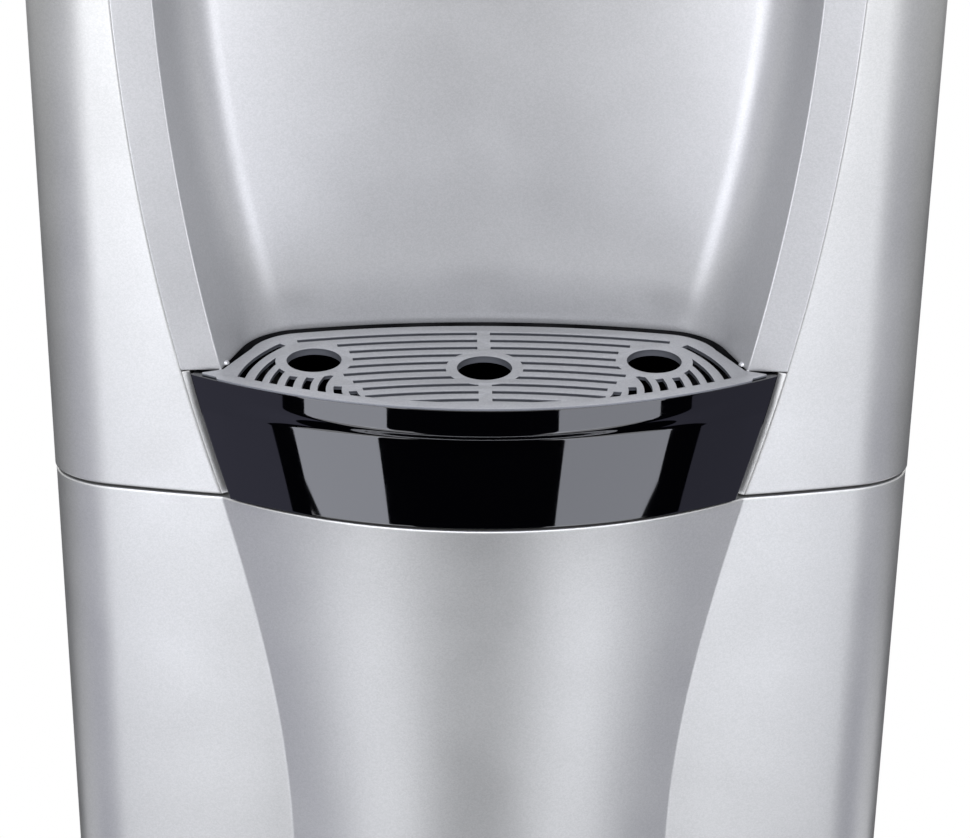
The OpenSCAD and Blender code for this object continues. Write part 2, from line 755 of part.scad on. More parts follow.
module door_liner() {
    color("whitesmoke") difference() {
        block(fit - half_w + 1, hinge_x - 2, skin_back + fit / 3, door_back, door_z, door_top - fit);
        finger_pocket(0);
        strike_pocket(fit / 3);
    }
}

strike_w = 12;
strike_h = 40;
strike_t = 1.5;
strike_x = -half_w + 26;
strike_z = door_top - 60;
module strike_pocket(grow) {
    block(strike_x - strike_w / 2 - grow, strike_x + strike_w / 2 + grow, door_back - strike_t,
        door_back + 1,
        strike_z - strike_h / 2 - grow, strike_z + strike_h / 2 + grow);
}

module door_strike() {
    color("gray") intersection() {
        strike_pocket(0);
        block(-half_w, half_w, bow_y, door_back, base_z, seam_z);
    }
}

module hinge_pins() {
    color("darkgray") {
        translate([hinge_x, hinge_y, base_z - wall]) cylinder(r = pin_r, h = door_lift + wall + 11);
        translate([hinge_x, hinge_y, door_top - 11]) cylinder(r = pin_r, h = deck_z - door_top + 11);
    }
}

deck_z = well_floor - wall - sheet;
bracket_t = 2;
bracket_in = 22;
bracket_out = 8;
bracket_tail = 24;
// Plate under or over the door that holds a hinge pin
module hinge_bracket(z, tail) {
    difference() {
        union() {
            block(hinge_x - bracket_in, hinge_x + bracket_out, hinge_y - bracket_out - 2, frame_y - fit,
                z, z + bracket_t);
            block(hinge_x - bracket_in, half_w - flange - 1, hinge_y, frame_y + tail, z, z + bracket_t);
        }
        translate([hinge_x, hinge_y, z - 1]) cylinder(r = pin_r, h = bracket_t + 2);
    }
}

module hinge_brackets() {
    color("darkgray") {
        hinge_bracket(base_z, -fit);
        hinge_bracket(deck_z - bracket_t, bracket_tail);
    }
}

// Cabinet: a liner stepped over the compressor bay, with ledges for its shelf
liner_y = frame_y + sheet + fit;
liner_half = inner_w - 2;
liner_top = deck_z - 4;
lower_back = liner_y + cabinet_d;
upper_back = back_y - channel_d;
shelf_z = base_z + shelf_rise;
shelf_t = 8;
ledge_w = 6;
ledge_h = 4;

module cabinet_liner() {
    color("whitesmoke") {
        difference() {
            side_prism(-liner_half, liner_half) polygon([[liner_y, base_z], [lower_back + wall, base_z],
                [lower_back + wall, bay_z], [upper_back + wall, bay_z], [upper_back + wall, liner_top],
                [liner_y, liner_top]]);
            side_prism(wall - liner_half, liner_half - wall) polygon([[liner_y - 1, base_z + wall],
                [lower_back, base_z + wall], [lower_back, bay_z + wall], [upper_back, bay_z + wall],
                [upper_back, liner_top - wall], [liner_y - 1, liner_top - wall]]);
        }
        for (side = [0, 1]) mirror([side, 0, 0])
            block(liner_half - wall - ledge_w, liner_half - wall / 2, liner_y + 10, upper_back + wall / 2,
                shelf_z - ledge_h, shelf_z);
    }
}

module cabinet_shelf() {
    shelf_half = liner_half - wall - fit;
    shelf_n = 9;
    color("lightgray") difference() {
        block(-shelf_half, shelf_half, liner_y + 12, upper_back - fit, shelf_z, shelf_z + shelf_t);
        block(wall - shelf_half + ledge_w, shelf_half - ledge_w - wall, liner_y + 12 + wall,
            upper_back - fit - wall, shelf_z - 1, shelf_z + shelf_t - wall);
        for (k = [0:shelf_n - 1]) let (y = liner_y + 30 + k * (upper_back - liner_y - 56) / (shelf_n - 1))
            block(20 - shelf_half, shelf_half - 20, y - 3, y + 3, shelf_z, shelf_z + shelf_t + 1);
    }
}

magnet_w = 24;
module door_magnet() {
    color("black") block(wall - liner_half, wall - liner_half + magnet_w, frame_y + sheet + fit,
        liner_y + 16,
        strike_z - strike_h / 2, strike_z + strike_h / 2);
}

// Steel decks that carry the tanks, notched at the back for the pipes
notch_w = 40;
notch_d = 30;
module deck(z, y0) {
    difference() {
        block(-inner_w, inner_w, y0, inner_y - fit, z, z + sheet);
        block(-notch_w, notch_w, inner_y - notch_d, inner_y + 1, z - 1, z + sheet + 1);
        for (side = [-1, 1]) block(side * half_w - flange - fit, side * half_w + flange + fit,
            inner_y - fit - sheet, inner_y + 1, z - 1, z + sheet + 1);
    }
}

module lower_deck() {
    color("gainsboro") deck(deck_z, liner_y);
}

tank_y = 24;
foam_t = 14;
hot_z = deck_z + sheet + foam_t;
hot_foam_r = hot_r + foam_t + 2;
upper_deck_z = hot_z + hot_h + 2 * foam_t;
cold_z = upper_deck_z + sheet + foam_t - 2;
cold_top = cold_z + cold_h;
spigot_out = 5;
cold_spigot = [-30, cold_z + 20];
room_spigot = [0, cold_z + 50];
hot_spigot = [22, hot_z + hot_h - 14];
function ring_y(r, x) = tank_y - sqrt(r * r - x * x);

module upper_deck() {
    color("gainsboro") deck(upper_deck_z, ring_y(cold_foam_r, 0) + 6);
}

// A thin water tank turned with a rounded floor, a rolled seam and a lid with a filling hole
tank_t = 1.2;
module tank(r, z0, h) {
    t = tank_t;
    fill_r = probe_r - 4;
    translate([0, tank_y, z0]) rotate_extrude() polygon([[0, 0], [r - 8, 0], [r - 2, 3], [r, 9], [r, h - 9],
        [r + 2, h - 8], [r + 2, h - 6], [r - 2, h - 6], [r - 10, h], [fill_r, h], [fill_r, h - t],
        [r - 10, h - t], [r - t - 3, h - 7], [r - t, h - 9], [r - t, 9], [r - 3, 4], [r - 9, t], [0, t]]);
}

module cold_tank() {
    color("lightsteelblue") union() {
        tank(cold_r, cold_z, cold_h);
        for (s = [cold_spigot, room_spigot])
            rod_y(s[0], s[1], hose_bore, ring_y(cold_foam_r, s[0]) - spigot_out,
                ring_y(cold_r - tank_t / 2, s[0]));
    }
}

coil_z = cold_z + 74;
coil_turns = 6;
coil_pitch = 14;
coil_steps = 20;
coil_r = (cold_r + pipe_r + fit) / cos(180 / coil_steps);
foam_in = coil_r + pipe_r + 1;

module cold_insulation() {
    color("white") difference() {
        translate([0, tank_y, upper_deck_z + sheet]) cylinder(r = cold_foam_r, h = cold_h + foam_t - 10);
        translate([0, tank_y, cold_z]) cylinder(r = foam_in, h = cold_h);
        for (s = [cold_spigot, room_spigot])
            rod_y(s[0], s[1], hose_bore + fit, ring_y(cold_foam_r, s[0]) - 5, tank_y);
        block(-12, 12, tank_y + coil_r - 10, tank_y + cold_foam_r + 5, coil_z - 8, cold_top + 5);
    }
}

module evaporator_coil() {
    color("peru") tube([for (i = [0:coil_turns * coil_steps]) let (a = 90 + 360 * i / coil_steps)
        [coil_r * cos(a), tank_y + coil_r * sin(a), coil_z + coil_pitch * i / coil_steps]], pipe_r, 6);
}

band_h = 30;
band_t = 2;
module hot_tank() {
    color("lightsteelblue") union() {
        tank(hot_r, hot_z, hot_h);
        rod_y(hot_spigot[0], hot_spigot[1], hose_bore, ring_y(hot_foam_r, hot_spigot[0]) - spigot_out,
            ring_y(hot_r - tank_t / 2, hot_spigot[0]));
    }
}

module heater_band() {
    color("goldenrod") translate([0, tank_y, hot_z + 24]) difference() {
        cylinder(r = hot_r + band_t, h = band_h);
        translate([0, 0, -1]) cylinder(r = hot_r + 0.05, h = band_h + 2);
        translate([hot_r - 6, -3, -1]) cube([20, 6, band_h + 2]);
    }
}

module thermostats() {
    color("black") for (z = [hot_z + 66, hot_z + 90]) translate([hot_r + 0.1, tank_y, z]) rotate([0, 90, 0])
        cylinder(r = 8, h = 9);
}

module hot_insulation() {
    top = hot_z + hot_h + foam_t;
    color("white") difference() {
        translate([0, tank_y, deck_z + sheet]) cylinder(r = hot_foam_r, h = top - deck_z - sheet);
        translate([0, tank_y, hot_z]) cylinder(r = hot_r + band_t + fit, h = hot_h + fit);
        rod_y(hot_spigot[0], hot_spigot[1], hose_bore + fit, ring_y(hot_foam_r, hot_spigot[0]) - 5, tank_y);
        block(hot_r - 8, hot_foam_r + 5, tank_y - 10, tank_y + 10, hot_z + 54, hot_z + hot_h - 8);
    }
}

// Refrigeration
comp_x = 30;
comp_y = lower_back + 14 + compressor_r + wall;
comp_z = base_z + 10;
stubs = [[comp_x + 22, comp_y + 24], [comp_x - 24, comp_y + 24]];
stub_top = comp_z + compressor_h + 8;
mount_x = 58;
mount_y = 40;

module compressor() {
    r = compressor_r;
    h = compressor_h;
    color([0.1, 0.1, 0.1]) difference() {
        union() {
            translate([comp_x, comp_y, comp_z]) rotate_extrude() polygon([
                [0, 0], [r - 6, 0], [r - 1, 6], [r, 14],
                [r, h * 0.52], [r + 2, h * 0.52], [r + 2, h * 0.55], [r, h * 0.55], [r - 1, h - 30],
                [r - 10, h - 12], [r - 26, h - 2], [0, h]]);
            translate([comp_x - mount_x - 10, comp_y - mount_y - 10, comp_z])
                cube([2 * mount_x + 20, 2 * mount_y + 20, 3]);
            translate([comp_x - r - 14, comp_y - 22, comp_z + 36]) cube([20, 44, 46]);
            for (s = stubs) translate([s.x, s.y, comp_z + h / 2])
                cylinder(r = pipe_r + 0.6, h = stub_top - comp_z - h / 2);
        }
        for (x = [-1, 1], y = [-1, 1]) translate([comp_x + x * mount_x, comp_y + y * mount_y, comp_z - 1])
            cylinder(r = 5.1, h = 5);
    }
}

mount_h = 15;
module compressor_mounts() {
    color([0.15, 0.15, 0.15]) for (x = [-1, 1], y = [-1, 1])
        translate([comp_x + x * mount_x, comp_y + y * mount_y, base_z]) rotate_extrude()
            polygon([[0, 0], [9, 0], [9, 4], [7.5, 5], [9, 6], [9, 10], [5, 10],
                [5, mount_h], [0, mount_h]]);
}

cond_half = 112;
cond_y = back_y + bow_proud - pipe_r - 2 * wire_r - fit / 3;
cond_z = bay_z + 34;
function run_z(k) = cond_z + k * run_pitch;
function run_turn(k) = let (side = k % 2 == 0 ? -1 : 1) [for (i = [0:6]) let (a = -90 + 30 * i)
    [side * (cond_half - run_pitch / 2 + run_pitch / 2 * cos(a)), cond_y,
        run_z(k) + run_pitch / 2 + run_pitch / 2 * sin(a)]];

module condenser_pipe() {
    last = run_n - 1;
    color([0.12, 0.12, 0.12]) tube(concat([[cond_half - run_pitch / 2, cond_y, cond_z]],
        [for (k = [0:last - 1]) each run_turn(k)],
        [[(last % 2 == 0 ? -1 : 1) * (cond_half - run_pitch / 2), cond_y, run_z(last)]]), pipe_r, 8);
}

module condenser_wires() {
    wire_n = 15;
    reach = cond_half - run_pitch / 2 - 10;
    off = pipe_r + wire_r + fit / 3;
    color([0.12, 0.12, 0.12]) for (k = [0:wire_n - 1])
        translate([-reach + 2 * reach * k / (wire_n - 1), cond_y + (k % 2 == 0 ? off : -off), cond_z - 8])
            cylinder(r = wire_r, h = run_z(run_n - 1) - cond_z + 16, $fn = 16);
}

module condenser_brackets() {
    color("dimgray") for (side = [-1, 1], k = [1, run_n - 2])
        translate([side * (cond_half - run_pitch / 2 - 3), 0, run_z(k)])
        difference() {
            union() {
                block(-4, 4, back_y, cond_y, -5, 5);
                block(-4, 4, back_y, back_y + 2, -14, 14);
            }
            translate([-5, cond_y, 0]) rotate([0, 90, 0]) cylinder(r = pipe_r + fit / 2, h = 10);
        }
}

dryer = [-62, comp_y + 34];
dryer_r = 8;
dryer_h = 90;
dryer_z = base_z + 40;
module filter_dryer() {
    color("peru") translate([dryer.x, dryer.y, dryer_z]) rotate_extrude() polygon([[0, -14], [pipe_r, -14],
        [pipe_r, 0], [dryer_r, 7], [dryer_r, dryer_h - 7], [pipe_r, dryer_h], [pipe_r, dryer_h + 10],
            [0, dryer_h + 10]]);
}

pipe_y = inner_y - 14;
riser_out = 22;
module refrigerant_pipes() {
    end_x = cond_half - run_pitch / 2;
    outer_x = cond_half + riser_out;
    cap_r = 1.2;
    coil_back = tank_y + coil_r + pipe_r + fit;
    coil_end = coil_z + coil_turns * coil_pitch;
    color("peru") {
        // Compressor to condenser
        tube(rounded([[stubs[0].x, stubs[0].y, stub_top + fit / 3], [stubs[0].x, stubs[0].y, stub_top + 18],
            [stubs[0].x + 20, cond_y, stub_top + 22], [cond_half, cond_y, cond_z - 26],
            [cond_half + 4, cond_y, cond_z], [end_x + fit / 3, cond_y, cond_z]], 2), pipe_r, 8);
        // Condenser to dryer
        tube(rounded([[end_x + fit / 3, cond_y, run_z(run_n - 1)], [outer_x, cond_y, run_z(run_n - 1)],
            [outer_x, cond_y, bay_z], [outer_x, cond_y, base_z + 40], [outer_x, cond_y - 4, base_z + 14],
            [dryer.x, cond_y - 4, base_z + 14], [dryer.x, dryer.y, base_z + 12],
            [dryer.x, dryer.y, dryer_z - 14 - fit / 3]], 2), pipe_r, 8);
        // Dryer to evaporator, a thin capillary
        tube(rounded([[dryer.x, dryer.y, dryer_z + dryer_h + 10 + fit / 3], [dryer.x, dryer.y, bay_z - 30],
            [dryer.x + 20, pipe_y, bay_z], [-10, pipe_y, bay_z + 50], [-10, pipe_y, coil_end - 40],
            [0, pipe_y, coil_end], [0, coil_back, coil_end]], 2), cap_r, 6);
        // Evaporator back to the compressor
        tube(rounded([[0, coil_back, coil_z], [4, pipe_y, coil_z], [12, pipe_y, coil_z - 40],
            [12, pipe_y, bay_z + 40], [stubs[1].x, stubs[1].y, bay_z - 10],
            [stubs[1].x, stubs[1].y, stub_top + fit / 3]], 2), pipe_r, 8);
    }
}

// Push-button head
head_cy = bow_y + button_proud + head_r;
function head_y(x) = head_cy - sqrt(head_r * head_r - x * x);
function head_a(x) = asin(x / head_r);
button_z = head_z + button_rise;
button_corner = 7;
stem_r = 4;
cap_d = 10;
valve_front = 14;
valve_back = 22;
barb_l = 12;
lens_z = head_top - 16;
board_y = head_y(hole_pitch) + 14;
lock_z = button_z + button_h / 2 + 9;
lock_w = 10;
lock_h = 6;

function round_rect(w, h, r) = concat(
    arc([w / 2 - r, h / 2 - r], r, 0, 90, 5), arc([r - w / 2, h / 2 - r], r, 90, 180, 5),
    arc([r - w / 2, r - h / 2], r, 180, 270, 5), arc([w / 2 - r, r - h / 2], r, 270, 360, 5));

// Places a shape on the head's skin at x, facing squarely out of it
module on_head(x) {
    translate([0, head_cy, 0]) rotate([0, 0, head_a(x)]) translate([0, -head_r, 0]) children();
}

module head_block(inset, z0, z1, y_end) {
    intersection() {
        translate([0, head_cy, z0]) cylinder(r = head_r - inset, h = z1 - z0, $fn = 240);
        front_prism(bow_y - 10, y_end) mouth_shape(fit + inset, z0, z1);
    }
}

module head_fascia() {
    y_end = recess_y + recess_wall;
    color([0.03, 0.03, 0.035]) difference() {
        head_block(0, head_z, head_top - fit, y_end);
        head_block(wall, head_z + wall, head_top - fit - wall, y_end + 1);
        for (p = spouts) {
            front_prism(bow_y - 10, p.y) translate([p.x, button_z])
                polygon(round_rect(button_w + 2 * fit, button_h + 2 * fit, button_corner + fit));
            translate([p.x, p.y, head_z - 1]) cylinder(r = nozzle_r + fit, h = wall + 2);
            rod_y(p.x, lens_z, lens_r + fit / 3, bow_y - 5, board_y);
        }
        on_head(hole_pitch) block(-lock_w / 2 - fit, lock_w / 2 + lock_travel + fit, -5, wall + 5,
            lock_z - lock_h / 2 - fit, lock_z + lock_h / 2 + fit);
    }
}

// A button with its stem, its face bowed like the head
module button(p) {
    y_back = head_y(p.x) + cap_d;
    intersection() {
        front_prism(bow_y - 10, y_back) translate([p.x, button_z])
            polygon(round_rect(button_w, button_h, button_corner));
        translate([0, head_cy, head_z]) cylinder(r = head_r + button_proud, h = head_h, $fn = 240);
    }
    rod_y(p.x, button_z, stem_r, y_back - 1, p.y - valve_front + 8);
}

module cold_button() {
    color("royalblue") button(spouts[0]);
}

module room_button() {
    color("gainsboro") button(spouts[1]);
}

module hot_button() {
    color("firebrick") button(spouts[2]);
}

// A push valve with its nozzle, its flange standing on the floor of the head
module valve(p) {
    difference() {
        union() {
            rod_y(p.x, button_z, valve_r, p.y - valve_front, p.y + valve_back);
            rod_y(p.x, button_z, hose_bore, p.y + valve_back - 1, p.y + valve_back + barb_l);
            translate([p.x, p.y, head_z - nozzle_drop])
                cylinder(r = nozzle_r, h = button_z - head_z + nozzle_drop);
            translate([p.x, p.y, head_z + wall]) cylinder(r = nozzle_r + 4, h = 3);
        }
        rod_y(p.x, button_z, stem_r + fit, p.y - valve_front - 1,
            p.y - valve_front + 8 + button_travel + 2);
        translate([p.x, p.y, head_z - nozzle_drop - 1]) cylinder(r = nozzle_r - 2.5, h = 40);
    }
}

module cold_valve() {
    color("white") valve(spouts[0]);
}

module room_valve() {
    color("white") valve(spouts[1]);
}

module hot_valve() {
    color("white") valve(spouts[2]);
}

module child_lock() {
    color("firebrick") on_head(hole_pitch) {
        block(-lock_w / 2, lock_w / 2, -2, wall + 2, lock_z - lock_h / 2, lock_z + lock_h / 2);
        block(-lock_w / 2 - 4, lock_w / 2 + 4, wall + 0.9, wall + 2.5, lock_z - lock_h / 2 - 2,
            lock_z + lock_h / 2 + 2);
    }
}

module indicator_lenses() {
    color("lightgreen") for (p = spouts) rod_y(p.x, lens_z, lens_r, head_y(p.x) - 0.6, board_y - fit / 3);
}

module control_board() {
    color("darkgreen") block(-hole_pitch - 14, hole_pitch + 14, board_y, board_y + 1.6, lens_z - 10,
        lens_z + 9);
}

// Hoses from the tanks to the valves
hose_y = recess_y + recess_wall + hose_r + 3;
module hose(from, p) {
    end = p.y + valve_back + barb_l + fit / 3;
    tube(rounded([from, from + [0, -6, 0], [from.x, hose_y, from.z + 14], [p.x, hose_y, button_z - 34],
        [p.x, max(hose_y, end + 6), button_z], [p.x, end, button_z]], 2), hose_r, 8);
}

module cold_hose() {
    color("azure") hose([cold_spigot[0], ring_y(cold_foam_r, cold_spigot[0]) - spigot_out - fit / 3,
        cold_spigot[1]], spouts[0]);
}

module room_hose() {
    color("azure") hose([room_spigot[0], ring_y(cold_foam_r, room_spigot[0]) - spigot_out - fit / 3,
        room_spigot[1]], spouts[1]);
}

module hot_hose() {
    color("azure") hose([hot_spigot[0], ring_y(hot_foam_r, hot_spigot[0]) - spigot_out - fit / 3,
        hot_spigot[1]], spouts[2]);
}

// Top cover with the bottle collar and its feed probe
open_r = collar_r - 8;
module top_cover() {
    color("silver") difference() {
        plan_prism(0, back_y, cover_z, cover_top);
        plan_prism(wall, back_y - wall, cover_z - 1, cover_top - wall);
        translate([0, tank_y, cover_z]) cylinder(r = open_r, h = cover_h + 1);
        for (x = cover_screw_xs) rod_y(x, cover_z + cover_h / 2, screw_r + fit / 3, back_y - wall - 1,
            back_y + 1);
    }
}

module bottle_collar() {
    color([0.2, 0.2, 0.22]) translate([0, tank_y, cover_top]) rotate_extrude() polygon([
        [open_r - fit, 0], [collar_r, 0], [collar_r, 5], [collar_r - 10, collar_rise - 3],
        [collar_r - 13, collar_rise], [collar_r - 17, collar_rise], [neck_r + 28, 2], [neck_r, -12],
        [neck_r, -26], [neck_r + wall, -26], [neck_r + wall, -14], [neck_r + 29, -1.5],
        [open_r - fit - wall, collar_rise - 12], [open_r - fit - wall, -6], [open_r - fit, -6]]);
}

module feed_probe() {
    low = cold_top + fit - cover_top;
    color("whitesmoke") translate([0, tank_y, cover_top]) difference() {
        rotate_extrude() polygon([[probe_r - 4, low], [probe_r, low], [probe_r, -30], [neck_r + wall, -30],
            [neck_r + wall, -26 - fit / 3], [probe_r, -26 - fit / 3], [probe_r, 8], [probe_r - 8, 18],
                [0, 18],
            [0, 12], [probe_r - 4, 4]]);
        for (a = [0, 90]) rotate([0, 0, a]) translate([-probe_r - 1, -3, -18])
            cube([2 * probe_r + 2, 6, 18]);
    }
}

// Rear switches, inlet, drains and screws
rocker_w = 11;
rocker_h = 19;
rocker_tilt = 8;
rocker_xs = [switch_x - 7, switch_x + 7];
rocker_y = back_y - 1;

module switch_housing() {
    color("black") difference() {
        union() {
            block(switch_x - switch_w / 2, switch_x + switch_w / 2, back_y - 14, back_y + 2,
                switch_z - switch_h / 2,
                switch_z + switch_h / 2);
            block(switch_x - switch_w / 2 - 3, switch_x + switch_w / 2 + 3, back_y, back_y + 2,
                switch_z - switch_h / 2 - 3, switch_z + switch_h / 2 + 3);
        }
        for (x = rocker_xs) block(x - rocker_w / 2 - fit, x + rocker_w / 2 + fit, back_y - 11, back_y + 3,
            switch_z - rocker_h / 2 - 1.5, switch_z + rocker_h / 2 + 1.5);
    }
}

module rocker(x) {
    translate([x - rocker_w / 2, rocker_y, switch_z]) rotate([-rocker_tilt, 0, 0]) side_prism(0, rocker_w)
        polygon([[-5, -4], [4.5, -rocker_h / 2], [3, 0], [4.5, rocker_h / 2], [-5, 4]]);
}

module hot_switch() {
    color("firebrick") rocker(rocker_xs[0]);
}

module cold_switch() {
    color("seagreen") rocker(rocker_xs[1]);
}

module power_inlet() {
    color("black") difference() {
        union() {
            block(inlet_x - inlet_w / 2, inlet_x + inlet_w / 2, back_y - 16, back_y + 2,
                inlet_z - inlet_h / 2, inlet_z + inlet_h / 2);
            block(inlet_x - inlet_w / 2 - 4, inlet_x + inlet_w / 2 + 4, back_y, back_y + 2,
                inlet_z - inlet_h / 2 - 3,
                inlet_z + inlet_h / 2 + 3);
        }
        difference() {
            block(inlet_x - inlet_w / 2 + 3, inlet_x + inlet_w / 2 - 3, back_y - 13, back_y + 3,
                inlet_z - inlet_h / 2 + 3,
                inlet_z + inlet_h / 2 - 3);
            for (x = [-6, 0, 6]) block(inlet_x + x - 1, inlet_x + x + 1, back_y - 14, back_y - 2,
                inlet_z - 2, inlet_z + 2);
        }
    }
}

module drain_plugs() {
    color("gray") for (x = drain_xs) {
        rod_y(x, drain_z, drain_r, back_y - 26, back_y + 3);
        rod_y(x, drain_z, drain_r + 3, back_y, back_y + 8);
    }
}

// A pan-head screw driven from behind
module back_screw(x, z) {
    rod_y(x, z, screw_r, back_y - 8, back_y + 1);
    rod_y(x, z, 2 * screw_r, back_y, back_y + 1.8);
}

module panel_screws() {
    color("dimgray") for (p = back_screw_places) back_screw(p[0], p[1]);
}

cover_screw_xs = [20 - half_w, half_w - 20];
module cover_screws() {
    color("dimgray") for (x = cover_screw_xs) back_screw(x, cover_z + cover_h / 2);
}

base();
feet();
left_side_panel();
right_side_panel();
back_panel();
front_panel();
recess_panel();
jamb_trims();
tray_well();
head_fascia();
top_cover();
bottle_collar();
feed_probe();
drip_tray();
drip_grille();
door_skin();
door_liner();
door_strike();
door_magnet();
hinge_pins();
hinge_brackets();
cabinet_liner();
cabinet_shelf();
lower_deck();
upper_deck();
cold_tank();
cold_insulation();
evaporator_coil();
hot_tank();
hot_insulation();
heater_band();
thermostats();
compressor();
compressor_mounts();
condenser_pipe();
condenser_wires();
condenser_brackets();
filter_dryer();
refrigerant_pipes();
cold_hose();
room_hose();
hot_hose();
cold_valve();
room_valve();
hot_valve();
cold_button();
room_button();
hot_button();
child_lock();
indicator_lenses();
control_board();
switch_housing();
hot_switch();
cold_switch();
power_inlet();
drain_plugs();
panel_screws();
cover_screws();
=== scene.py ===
import bpy
import bmesh
import json
from math import acos, asin, atan2, copysign, cos, hypot, pi, radians, sin, sqrt, tan
from mathutils import Matrix, Vector


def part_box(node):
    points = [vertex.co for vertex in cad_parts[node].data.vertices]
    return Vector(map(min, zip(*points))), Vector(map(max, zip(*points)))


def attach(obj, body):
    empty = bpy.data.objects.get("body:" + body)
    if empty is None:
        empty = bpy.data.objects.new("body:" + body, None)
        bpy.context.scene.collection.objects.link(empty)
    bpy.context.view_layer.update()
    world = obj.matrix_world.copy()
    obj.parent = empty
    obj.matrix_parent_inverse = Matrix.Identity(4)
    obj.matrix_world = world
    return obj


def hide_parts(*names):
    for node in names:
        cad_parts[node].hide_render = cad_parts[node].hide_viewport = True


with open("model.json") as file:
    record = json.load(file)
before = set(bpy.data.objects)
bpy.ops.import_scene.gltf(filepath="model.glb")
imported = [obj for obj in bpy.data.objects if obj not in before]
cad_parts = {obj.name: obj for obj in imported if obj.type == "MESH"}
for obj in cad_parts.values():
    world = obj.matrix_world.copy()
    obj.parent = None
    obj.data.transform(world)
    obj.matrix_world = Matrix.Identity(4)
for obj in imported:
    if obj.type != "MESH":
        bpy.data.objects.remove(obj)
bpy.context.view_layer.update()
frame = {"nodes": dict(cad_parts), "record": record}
mm = 0.001

# sizes shared by several pieces, in millimetres, as in the frame
body = {
    "halfW": 156.3, "frontY": -148.5, "backY": 148.5, "partY": -92.0,
    "faceR": 650.0, "cornerIn": 21.5, "cornerBack": 13.9, "panelZ": 551.7, "trayZ": 599.2,
    "grilleZ": 600.0, "headZ": 805.0, "headTop": 908.0, "coverZ": 932.0,
    "coverTop": 964.0, "mouthW": 253.4, "mouthR": 755.0, "mouthZ": 772.0,
    "bowR": 200.7, "bowCy": 30.9, "fit": 0.3,
}
body["faceCy"] = body["frontY"] + body["faceR"]
body["cornerA"] = -acos((body["halfW"] - body["cornerIn"]) / body["faceR"])
spouts = [(-60.35, -131.1), (0.0, -137.1), (60.35, -131.1)]


def toLinear(hexText):
    parts = [int(hexText[i:i + 2], 16) / 255 for i in (1, 3, 5)]
    return [p / 12.92 if p <= 0.04045 else ((p + 0.055) / 1.055) ** 2.4 for p in parts] + [1.0]


def addNode(tree, kind, settings=None, links=None):  # a link comes from a socket or a node's first output
    node = tree.nodes.new(kind)
    for key, value in (settings or {}).items():
        if isinstance(key, int) or key in node.inputs:
            node.inputs[key].default_value = value
        else:
            setattr(node, key, value)
    for key, sources in (links or {}).items():
        for source in sources if isinstance(sources, list) else [sources]:
            socket = source.outputs[0] if hasattr(source, "outputs") else source
            tree.links.new(socket, node.inputs[key])
    return node


def perMm(size):  # texture scale for a pattern whose features are this many millimetres
    return 1.0 / (size * mm)


def newMaterial(name):
    material = bpy.data.materials.new(name)
    material.use_nodes = True
    tree = material.node_tree
    shader = tree.nodes["Principled BSDF"]
    place = addNode(tree, "ShaderNodeTexCoord").outputs["Object"]
    return material, tree, shader, place


def twoTone(tree, shader, dark, light, level):  # colour that goes from a dark to a light tone
    tones = {"data_type": "RGBA", 6: toLinear(dark), 7: toLinear(light)}
    mix = addNode(tree, "ShaderNodeMix", tones, {0: level})
    tree.links.new(mix.outputs[2], shader.inputs["Base Color"])
    return mix.outputs[2]


def speckle(tree, place, shader, dark, light, cell):  # grains of two tones in the colour
    grain = addNode(tree, "ShaderNodeTexVoronoi", {"Scale": perMm(cell)}, {"Vector": place})
    tone = addNode(tree, "ShaderNodeSeparateColor", None, {"Color": grain.outputs["Color"]})
    return twoTone(tree, shader, dark, light, tone)


def ripple(tree, place, shader, size, height, strength):  # shallow moulded or sprayed unevenness
    noise = addNode(tree, "ShaderNodeTexNoise", {"Scale": perMm(size), "Detail": 2.0}, {"Vector": place})
    bump = addNode(tree, "ShaderNodeBump", {"Strength": strength, "Distance": height * mm},
                   {"Height": noise})
    tree.links.new(bump.outputs[0], shader.inputs["Normal"])


def vary(tree, place, shader, size, low, high):  # roughness that wanders between two values
    noise = addNode(tree, "ShaderNodeTexNoise", {"Scale": perMm(size), "Detail": 3.0}, {"Vector": place})
    level = addNode(tree, "ShaderNodeMapRange", {"From Min": 0.3, "From Max": 0.7, "To Min": low,
                                                "To Max": high}, {"Value": noise})
    tree.links.new(level.outputs[0], shader.inputs["Roughness"])


# metallic silver paint sprayed on moulded ABS: broad soft reflections and a fine glitter,
# whose flakes are drawn coarser than they are so that they show
silverFinish = {"dark": "#a6a6a4", "light": "#b0b0ae", "flake": 0.42, "metallic": 0.73, "rough": (0.36, 0.42),
                # the last pair: how far up a face must look before the painted wall shade gives way to the
                # paint
                "wander": 30.0, "peel": 1.6, "peelH": 0.02, "peelBump": 0.25, "shadeTilt": (0.35, 0.9)}


def silverPaint(name, finish):
    material, tree, shader, place = newMaterial(name)
    shader.inputs["Metallic"].default_value = finish["metallic"]
    coat = speckle(tree, place, shader, finish["dark"], finish["light"], finish["flake"])
    if "wallShade" in finish:
        # painted shade: faces that do not look up, such as the slot walls, get a darker colour than the faces
        # that look up
        facing = addNode(tree, "ShaderNodeSeparateXYZ", None, {"Vector": place.node.outputs["Normal"]})
        low, high = finish["shadeTilt"]
        cover = addNode(tree, "ShaderNodeMapRange", {"From Min": low, "From Max": high},
                        {"Value": facing.outputs[2]})
        shadedWalls = addNode(tree, "ShaderNodeMix", {"data_type": "RGBA", 6: toLinear(finish["wallShade"])},
                        {0: cover, 7: coat})
        tree.links.new(shadedWalls.outputs[2], shader.inputs["Base Color"])
    vary(tree, place, shader, finish["wander"], *finish["rough"])
    ripple(tree, place, shader, finish["peel"], finish["peelH"], finish["peelBump"])
    return material


# injection-moulded ABS or PP: one colour with a faint mottle, satin or gloss by its tool
plastic = {"wander": 12.0, "grainH": 0.03, "grainBump": 0.3}


